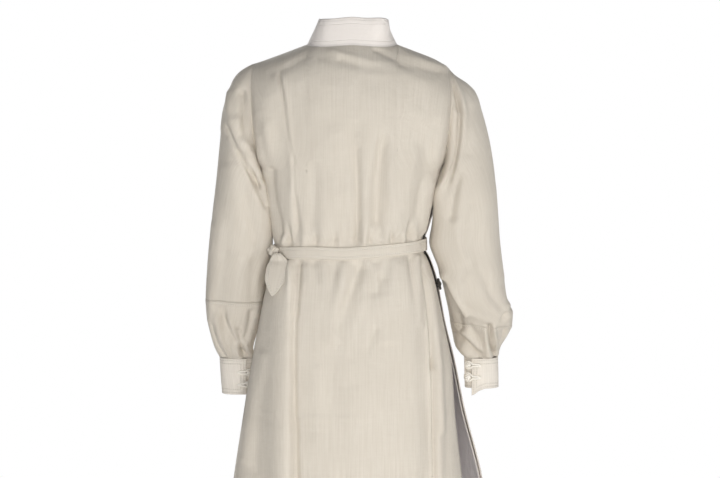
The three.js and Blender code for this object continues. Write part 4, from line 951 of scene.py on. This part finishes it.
# Back and fronts, hemmed below and at both sides
panels = {
    "back": {"node": "back_panel", "flat": (0.72, 1.36), "area": 0.66},
    "over": {"node": "front_overlap", "flat": (0.76, 1.34), "area": 0.62},
    "under": {"node": "front_underlap", "flat": (0.55, 1.34), "area": 0.40},
}
for name, panel in panels.items():
    grid, outward = outer[name]
    piece = clothPiece(panel["node"] + "_cloth", grid, outward, body["clothThick"], "robe",
                       rims=["first", "start", "end"], inside="inside")
    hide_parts(panel["node"])

# Sleeves and the pieces that lengthen them
sleeveCut = {
    "left": {"sleeve": (0.40, 0.50), "extension": (0.31, 0.13), "sleeveArea": 0.17, "extensionArea": 0.032},
    "right": {"sleeve": (0.44, 0.53), "extension": (0.35, 0.09), "sleeveArea": 0.20, "extensionArea": 0.026},
}
seamBand = {"wide": 9.0, "lift": 0.35}  # the seam's allowances lie under the first stretch below it
for hand, cut in sleeveCut.items():
    grid, outward = outer[hand]
    split = fine["sleeveRows"]
    upper, lower = grid[: split + 1], grid[split:].copy()
    below = arcs(lower, True)[1][:, :-1]
    band = seamBand["lift"] * (1 - smooth(seamBand["wide"] - 1.5, seamBand["wide"] + 1, below))
    lower += outward[split:] * band[..., None]
    rimsOf = {"sleeve": [], "extension": ["first"]}
    for kind, part, out in [("sleeve", upper, outward[: split + 1]), ("extension", lower, outward[split:])]:
        node = f"{hand}_sleeve" + ("_extension" if kind == "extension" else "")
        piece = clothPiece(node + "_cloth", part, out, body["clothThick"], "robe", closed=True,
                           rims=rimsOf[kind], inside="inside")
        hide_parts(node)
print("body and sleeves made")

# Collar: it stands round the back of the neck, and turns over to lie along the crossed fronts
collar = {
    "width": 54, "turn": 120, "strips": 18, "leanBack": 0.18, "leanSide": 0.46, "across": (-0.784, 0.62),
    "endU": -0.96, "endX": -158, "least": 8, "thick": 2.2, "flat": (0.062, 1.12),
    "cornerX": 52, "cornerLift": {1: 4.5, -1: 15.0}, "cornerWide": 20, "backFrom": -14, "backTo": 30,
    "sink": {"x": -68, "wide": 15, "drop": 9},
}


def clothAt(side, x, z, lift):  # the cloth at x and z
    u = np.zeros_like(x)
    h = np.full_like(x, body["armpitZ"])
    for _ in range(4):
        u = firstWhere(0 * x - 1, 0 * x + 1, lambda t: sheetPoint(side, t, h)[..., 0] >= x)
        h = firstWhere(0 * x - 600, 0 * x, lambda t: sheetPoint(side, u, t)[..., 2] >= z)
    return clothPoint(side, u, h, lift(u, h))


def collarStrip(side, u, hand):
    top = backTop(u) if side > 0 else frontTop(u, hand)
    lift = overLift if hand > 0 else lambda v, h: np.zeros_like(v)
    base = clothPoint(side, u, top, lift(u, top))
    inward = unit(vec(-base[:, 0], -base[:, 1], 0))
    sideways = clamp(np.abs(base[:, 0]) / body["neckHalf"]) ** 2
    lean = mix(collar["leanBack"], collar["leanSide"], sideways) if side > 0 else collar["leanSide"] + 0 * u
    stand = inward * np.sin(lean)[:, None] + vec(0, 0, np.cos(lean))
    lying = 0 * u if side > 0 else smooth(0, collar["turn"], -base[:, 2])
    room = (collar["endX"] - base[:, 0]) / collar["across"][0] if hand > 0 else collar["width"] + 0 * u
    width = np.clip(room, collar["least"], collar["width"])
    across = width[:, None] * np.linspace(0, 1, collar["strips"] + 1)[None, :]
    standing = base[:, None] + stand[:, None] * across[..., None]
    if side > 0:
        return standing
    x = base[:, 0][:, None] + hand * collar["across"][0] * across
    z = base[:, 2][:, None] + collar["across"][1] * across
    return mix(standing, clothAt(-1, x, z, lift), lying[:, None, None])


strips = [
    collarStrip(-1, np.maximum(collar["endU"], columnsOf["over"][: fine["lap"]]), 1),
    collarStrip(1, neckMiddle[::-1][1:-1], 0),
    collarStrip(-1, columnsOf["under"][len(sideU):], -1),
]
collarGrid = np.concatenate(strips)
collarOut = gridOut(collarGrid, collarGrid * [1, 1, 0])
corners = np.exp(-(((np.abs(collarGrid[..., 0]) - collar["cornerX"]) / collar["cornerWide"]) ** 2))
corners = corners * np.where(collarGrid[..., 0] > 0, collar["cornerLift"][1], collar["cornerLift"][-1])
up = np.linspace(0, 1, collar["strips"] + 1)[None, :]
atBack = smooth(collar["backFrom"], collar["backTo"], collarGrid[..., 1]) * smooth(0, 1, up)
sink = np.exp(-(((collarGrid[..., 0] - collar["sink"]["x"]) / collar["sink"]["wide"]) ** 2))
sink = sink * atBack * up * collar["sink"]["drop"]
collarGrid = collarGrid + collarOut * (corners * atBack)[..., None] - vec(0, 0, sink)
piece = clothPiece("collar_band_cloth", collarGrid, collarOut, collar["thick"], "collar",
                   rims=["start", "end"])
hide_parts("collar_band")
print("collar made")

# Cuffs: each a strip wrapped over its own end, with a flap that the frogs hold
cuffs = {
    "under": 84, "edge": 118, "tuck": 3.1, "thick": 2.2, "rows": 26, "steps": 200,
    "left": {"outX": 250, "inX": 191, "midY": -70, "depth": 28, "z": -668, "flare": 1, "corner": 0,
             "loopRoom": 0.4, "frogs": [0.38, 0.72], "flat": (0.23, 0.07)},
    "right": {"outX": 281, "inX": 216, "midY": -75, "depth": 31, "z": -657, "flare": 3, "corner": 13,
              "loopRoom": 1.3, "frogs": [0.22, 0.62], "flat": (0.25, 0.065)},
}


def cuffPoint(hand, turn, share, lift):
    turn, share, lift = np.broadcast_arrays(*(np.asarray(v, float) for v in (turn, share, lift)))
    sleeve, end = sleeves[hand], cuffs[hand]
    z = mix(sleeve["outZ"][-1] - 0.3, end["z"], share)
    ring = {"outZ": z, "inZ": z}
    for name in ["outX", "inX", "midY", "depth"]:
        ring[name] = mix(sleeve[name][-1], end[name], share)
    around = ringPoint(hand, ring, turn + 2) - ringPoint(hand, ring, turn - 2)
    out = unit(np.cross(around, vec(0 * z, 0, sleeve["sign"])))
    return ringPoint(hand, ring, turn) + out * lift[..., None]


def cuffShape(hand, turn, share):
    end = cuffs[hand]
    under = 1 - smooth(cuffs["edge"] + 14, cuffs["edge"] + 46, turn)
    atEdge = smooth(cuffs["edge"] + 322, cuffs["edge"] + 360, turn)
    lift = end["flare"] * atEdge * share - cuffs["tuck"] * under
    wave = 0.5 * np.sin(np.radians(turn * 5)) * share * (1 - share) * 4  # the doubled cloth isn't quite flat
    return cuffPoint(hand, turn, share, lift + wave) - vec(0 * turn, 0, end["corner"] * atEdge * share)


for hand in ["left", "right"]:
    turn = np.linspace(cuffs["under"], cuffs["edge"] + 360, cuffs["steps"])[None, :]
    share = np.linspace(0, 1, cuffs["rows"])[:, None]
    grid = cuffShape(hand, turn + 0 * share, share + 0 * turn)
    centre = grid.mean(axis=(0, 1))
    piece = clothPiece(f"{hand}_cuff_cloth", grid, gridOut(grid, grid - centre), cuffs["thick"], "cuff",
                       rims=["first", "last", "end"])
    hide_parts(f"{hand}_cuff")
print("cuffs made")


# Frogs: a button knotted from cord, and a loop of twisted cord that reaches over it
frogs = {"strands": 3, "fuller": 1.5, "knotFuller": 1.22, "reach": 12, "degreesPerMm": 1.9, "knotSeat": 0.85,
         "loopSides": 10, "loopStep": 0.55, "twists": 9, "cuffCord": 1.3, "round": 0.58, "roundThick": 0.41,
         "core": 0.62}


def cordLoop(name, path, outs, radius, material, twists):
    path, outs = np.array(path), np.array(outs)
    closedPath = np.concatenate([path, path[:1]])
    length = np.concatenate([[0], np.cumsum(np.linalg.norm(np.diff(closedPath, axis=0), axis=1))])
    count = int(length[-1] / frogs["loopStep"])
    at = np.linspace(0, length[-1], count, endpoint=False)
    dense = np.stack([np.interp(at, length, closedPath[:, k]) for k in range(3)], 1)
    denseOut = np.stack([np.interp(at, length, np.append(outs[:, k], outs[0, k])) for k in range(3)], 1)
    for _ in range(6):
        dense = (np.roll(dense, 1, axis=0) + np.roll(dense, -1, axis=0) + 2 * dense) / 4
    along = unit(np.roll(dense, -1, axis=0) - np.roll(dense, 1, axis=0))
    across = unit(np.cross(along, denseOut))
    up = np.cross(across, along)
    angle = np.linspace(0, 2 * math.pi, frogs["loopSides"], endpoint=False)
    phase = at / length[-1] * 2 * math.pi * twists
    strand = np.abs(np.cos((angle[None, :] - phase[:, None]) * frogs["strands"] / 2))
    r = radius * (0.8 + 0.3 * strand)
    grid = (dense[:, None] + across[:, None] * (r * np.cos(angle))[..., None]
            + up[:, None] * (r * np.sin(angle))[..., None])
    rows, columns = grid.shape[:2]
    points = (grid.reshape(-1, 3) * mm).tolist()
    faces = []
    for i in range(rows):
        here, ahead = i * columns, ((i + 1) % rows) * columns
        for j in range(columns):
            beside = (j + 1) % columns
            faces.append((here + j, ahead + j, ahead + beside, here + beside))
    mesh = bpy.data.meshes.new(name)
    mesh.from_pydata(points, [], faces)
    mesh.materials.append(materials[material])
    mesh.polygons.foreach_set("use_smooth", [True] * len(faces))
    return addObject(name, mesh)


def knotButton(name, centre, radius, material):  # three rounds of cord woven through one another
    bpy.ops.object.select_all(action="DESELECT")
    rounds = []
    for tilt in [(0, 0, 0), (math.pi / 2, 0, 0.35), (math.pi / 2, 0.2, math.pi / 2 + 0.35)]:
        bpy.ops.mesh.primitive_torus_add(
            location=(0, 0, 0), rotation=tilt, major_radius=radius * frogs["round"] * mm,
            minor_radius=radius * frogs["roundThick"] * mm, major_segments=26, minor_segments=10)
        rounds.append(bpy.context.object)
    bpy.ops.mesh.primitive_uv_sphere_add(
        location=(0, 0, 0), radius=radius * frogs["core"] * mm, segments=16, ring_count=10)
    rounds.append(bpy.context.object)
    for part in rounds:
        part.select_set(True)
    bpy.context.view_layer.objects.active = rounds[0]
    bpy.ops.object.join()
    knot = bpy.context.object
    bpy.ops.object.transform_apply(location=False, rotation=True, scale=True)
    for vertex in knot.data.vertices:
        vertex.co += Vector(centre) * mm
    knot.name = name
    knot.data.name = name
    knot.data.materials.clear()
    knot.data.materials.append(materials[material])
    bpy.ops.object.shade_smooth()
    return knot


def addFrog(node, spot, ball, cord, knotAt, seat, loopLift, material):
    knot = knotButton(node + "_knot_cord", spot(knotAt, 0, seat + ball), ball * frogs["knotFuller"], material)
    round_ = ball + cord + 1.2
    neck = cord + 0.4
    bends = np.radians(np.linspace(-130, 130, 17))
    head = [(knotAt + round_ * math.cos(t), round_ * math.sin(t)) for t in bends]
    tail = [(knotAt - round_ - 2, neck + 0.6), (-frogs["reach"], neck), (-frogs["reach"] - neck, 0),
            (-frogs["reach"], -neck), (knotAt - round_ - 2, -neck - 0.6)]
    path = [spot(across, up, loopLift) for across, up in head + tail]
    outs = [spot(across, up, loopLift + 1) - p for (across, up), p in zip(head + tail, path)]
    loop = cordLoop(node + "_loop_cord", path, outs, cord * frogs["fuller"], material, frogs["twists"])
    for piece, part in [(knot, "knot"), (loop, "loop")]:
        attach(piece, "root")
        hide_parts(f"{node}_{part}")


for hand in ["left", "right"]:
    end = cuffs[hand]
    height = sleeves[hand]["outZ"][-1] - end["z"]
    for i, share in enumerate(end["frogs"]):
        def cuffSpot(across, up, lift, hand=hand, share=share, height=height):
            return cuffPoint(hand, cuffs["edge"] + across * frogs["degreesPerMm"], share - up / height, lift)
        cord = frogs["cuffCord"]
        seat = frogs["knotSeat"] - cuffs["tuck"]
        loopLift = end["flare"] * share + cord + end["loopRoom"]
        ball = loopLift - frogs["knotSeat"] - seat
        addFrog(f"{hand}_cuff_frog_{i + 1}", cuffSpot, ball, cord, ball + cord + 0.5, seat, loopLift,
                "cord")


def sideSpot(across, up, lift):
    edge = clothPoint(-1, np.array(-1.0), np.array(-460.0 + up), body["lapLift"])
    return edge + np.array([-lift, across, 0])


# The side frog takes the near-black cord, which is painted shade
addFrog("side_frog", sideSpot, 5.4, 1.5, 7.2, -body["lapLift"] - 0.5, 1.9, "paintedShadeCord")
print("frogs made")

# Sash: a doubled strip round the waist, its knot at the wearer's left and one leaf-shaped end
sash = {
    "rows": 13, "knotU": 0.84, "knotH": -383, "out": 8, "tailFrom": -2, "clear": 1.7,
    "tailAcross": -9, "tailTurn": 0.8, "tailClear": 7.5, "tailFreeFrom": -12, "tailFreeTo": 6,
    "cup": 1.6, "rib": 0.9, "ribWide": 0.12, "ribFrom": 40, "ribTo": 6,
    "flat": (0.026, 0.84), "endFlat": (0.048, 0.085), "endArea": 0.0026,
    "down": [0, 6, 12, 28, 46, 62, 74, 79], "half": [6, 11, 16, 22, 21, 14, 6, 0.8],
    "drop": [0, -1, -2, -4, -4, -4, -4, -4],
}
sashLift = belt["seat"] + belt["thick"]
frontPart = columnsOf["over"][::-1][1:-1]
around = []
for h in np.linspace(belt["z"] - belt["height"] / 2, belt["z"] + belt["height"] / 2, sash["rows"]):
    share = (h - belt["z"]) / (belt["height"] / 2)
    roll = 0.5 * (1 - share**4)
    u = columnsOf["back"]
    back = clothPoint(1, u, h + 0 * u, sashLift + roll + body["lapLift"] * (1 - smooth(-1, -0.84, u)))
    front = clothPoint(-1, frontPart, h + 0 * frontPart, sashLift + roll + overLift(frontPart, h))
    around.append(np.concatenate([back, front]))
sashGrid = np.array(around)
sashOut = gridOut(sashGrid, sashGrid * [1, 1, 0], True)
sashPiece = clothPiece("sash_cloth", sashGrid, sashOut, belt["thick"] - 0.4, "robe", closed=True,
                       rims=["first", "last"])
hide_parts("sash")

knotOut = outwardAt(1, np.array(sash["knotU"]), np.array(float(sash["knotH"]))) + np.array([0, 1, 0])
knotOut = unit(knotOut * [1, 1, 0])
knotAcross = np.array([knotOut[1], -knotOut[0], 0])
knotLift = sashLift + sash["clear"] + sash["out"]
knotMiddle = clothPoint(1, np.array(sash["knotU"]), np.array(float(sash["knotH"])), knotLift)


def knotBand(name, centre, tilt, size, thick, turnsOf):
    # one round of the knotted strip: a band wrapped about a tilted oval, pinched where it goes under
    steps, across = 64, 12
    angle = np.linspace(0, 2 * math.pi, steps, endpoint=False)
    lane = np.linspace(-1, 1, across)
    a, s = np.meshgrid(angle, lane)
    pinch = 1 - 0.35 * np.cos(a * turnsOf) ** 2
    x = s * size[0] * pinch
    puff = 1 + 0.08 * np.cos(a * 3 + s * 2)
    y = np.cos(a) * size[1] * puff * (1 - 0.25 * s**4)
    z = np.sin(a) * size[2] * puff * (1 - 0.25 * s**4)
    c, d = math.cos(tilt), math.sin(tilt)
    local = (x * c - z * d, y, x * d + z * c)
    grid = (centre + local[0][..., None] * knotAcross + local[1][..., None] * knotOut
            + local[2][..., None] * np.array([0, 0, 1]))
    return clothPiece(name, grid, gridOut(grid, grid - centre, True), thick, "robe", closed=True,
                      rims=["first", "last"])


knotParts = [
    knotBand("sash_knot_wrap", knotMiddle + knotOut * 0.4, 0.30, (6.5, 7.6, 10.5), 1.4, 1),
    knotBand("sash_knot_turn", knotMiddle + knotAcross * -5 - knotOut * 1.0, 1.15, (5.5, 6.2, 8.2), 1.4, 2),
    knotBand("sash_knot_under", knotMiddle + knotAcross * 6 - knotOut * 1.4, -0.75, (5.0, 6.0, 7.6), 1.4, 2),
]
for piece in knotParts:
    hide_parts("sash_knot")

tailTop = knotMiddle[2] + sash["tailFrom"]
down = np.linspace(0, sash["down"][-1], 70)
half = curveThrough(sash["down"], sash["half"], down)
drop = curveThrough(sash["down"], sash["drop"], down)
skirt = clothPoint(1, sash["knotU"] + 0 * down, tailTop - down, knotLift + drop)
lanes = np.linspace(-1, 1, 33)
tailOut = unit(knotOut + np.array([0, sash["tailTurn"], 0]))
tailAlong = np.array([tailOut[1], -tailOut[0], 0])
tailGrid = (vec(skirt[:, 0], skirt[:, 1], tailTop - down)[:, None]
            + tailAlong * (half[:, None] * lanes[None, :] + sash["tailAcross"])[..., None])
under = clothAt(1, tailGrid[..., 0], tailGrid[..., 2], lambda u, h: sash["tailClear"] + 0 * u)
free = smooth(sash["tailFreeFrom"], sash["tailFreeTo"], down)[:, None]
tailGrid[..., 1] += np.maximum(0, (under - tailGrid)[..., 1]).max() * free
cup = -sash["cup"] * (lanes[None, :] ** 2) * (half[:, None] / max(sash["half"]))
cup = cup + (sash["rib"] * np.exp(-((lanes[None, :] / sash["ribWide"]) ** 2))
             * smooth(sash["ribFrom"], sash["ribTo"], down)[:, None])
tailGrid = tailGrid + tailOut * cup[..., None]
tailPiece = clothPiece("sash_end_cloth", tailGrid, gridOut(tailGrid, tailOut), belt["thick"] - 0.4, "robe",
                       rims=["start", "end", "last"])
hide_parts("sash_end")
print("sash made")

# Floor and light
studio = {"floorZ": -1.345, "floorHalf": 40.0, "fadeFrom": 0.9, "fadeTo": 2.4, "paper": "#f7f6f4",
          "white": "#ffffff"}
bpy.ops.object.select_all(action="DESELECT")
bpy.ops.mesh.primitive_plane_add(size=2 * studio["floorHalf"], location=(0, 0, studio["floorZ"]))
floor = bpy.context.object
floor.name = "studioFloor"
bpy.ops.object.transform_apply(location=True, rotation=True, scale=True)
floorMaterial, tree = emptyMaterial("palePaper")
where = addNode(tree, "ShaderNodeTexCoord").outputs["Object"]
flat = addNode(tree, "ShaderNodeVectorMath", {0: where, 1: (1, 1, 0)}, operation="MULTIPLY").outputs[0]
radius = addNode(tree, "ShaderNodeVectorMath", {0: flat}, operation="LENGTH").outputs["Value"]
fade = addNode(tree, "ShaderNodeMapRange", {
    "Value": radius, "From Min": studio["fadeFrom"], "From Max": studio["fadeTo"]},
    interpolation_type="SMOOTHSTEP").outputs[0]
seen = addNode(tree, "ShaderNodeLightPath").outputs["Is Camera Ray"]
fade = addNode(tree, "ShaderNodeMath", {0: fade, 1: seen}, operation="MULTIPLY").outputs[0]
paper = addNode(tree, "ShaderNodeBsdfDiffuse", {"Color": linear(studio["paper"])}).outputs[0]
glow = addNode(tree, "ShaderNodeEmission", {"Color": linear(studio["white"]), "Strength": 1.0}).outputs[0]
blend = addNode(tree, "ShaderNodeMixShader", {0: fade, 1: paper, 2: glow}).outputs[0]
addNode(tree, "ShaderNodeOutputMaterial", {"Surface": blend})
floor.data.materials.append(floorMaterial)

lights = [
    {"name": "key", "at": (-0.7, 4.6, 0.15), "size": 1.0, "watts": 57, "towards": (0, 0, -0.5)},
    {"name": "side", "at": (-3.5, 2.6, 0.1), "size": 1.0, "watts": 38, "towards": (0, 0, -0.5)},
    {"name": "fill", "at": (0.9, 4.4, -0.55), "size": 1.6, "watts": 47, "towards": (0, 0, -0.5)},
    {"name": "low", "at": (0.0, 1.9, -1.15), "size": 0.9, "watts": 7.5, "towards": (0, 0, -0.85)},
    {"name": "frontKey", "at": (1.6, -4.4, 0.9), "size": 1.4, "watts": 140, "towards": (0, 0, -0.5)},
    {"name": "frontFill", "at": (-2.8, -3.2, 0.4), "size": 2.4, "watts": 34, "towards": (0, 0, -0.5)},
]
for light in lights:
    data = bpy.data.lights.new(light["name"], "AREA")
    data.shape = "DISK"
    data.size = light["size"]
    data.energy = light["watts"]
    addAimed(light["name"], data, light["at"], light["towards"])

air = {"behind": "#ffffff", "ambient": "#f4f6fa", "strength": 0.235}
world = bpy.data.worlds.new("studioAir")
bpy.context.scene.world = world
world.use_nodes = True
tree = world.node_tree
tree.nodes.clear()
seen = addNode(tree, "ShaderNodeLightPath").outputs["Is Camera Ray"]
ambient = addNode(tree, "ShaderNodeBackground", {
    "Color": linear(air["ambient"]), "Strength": air["strength"]})
behind = addNode(tree, "ShaderNodeBackground", {"Color": linear(air["behind"]), "Strength": 1.0})
both = addNode(tree, "ShaderNodeMixShader", {0: seen, 1: ambient.outputs[0], 2: behind.outputs[0]}).outputs[0]
addNode(tree, "ShaderNodeOutputWorld", {"Surface": both})
bpy.context.scene.view_settings.view_transform = "Standard"
print("floor, light and air made")
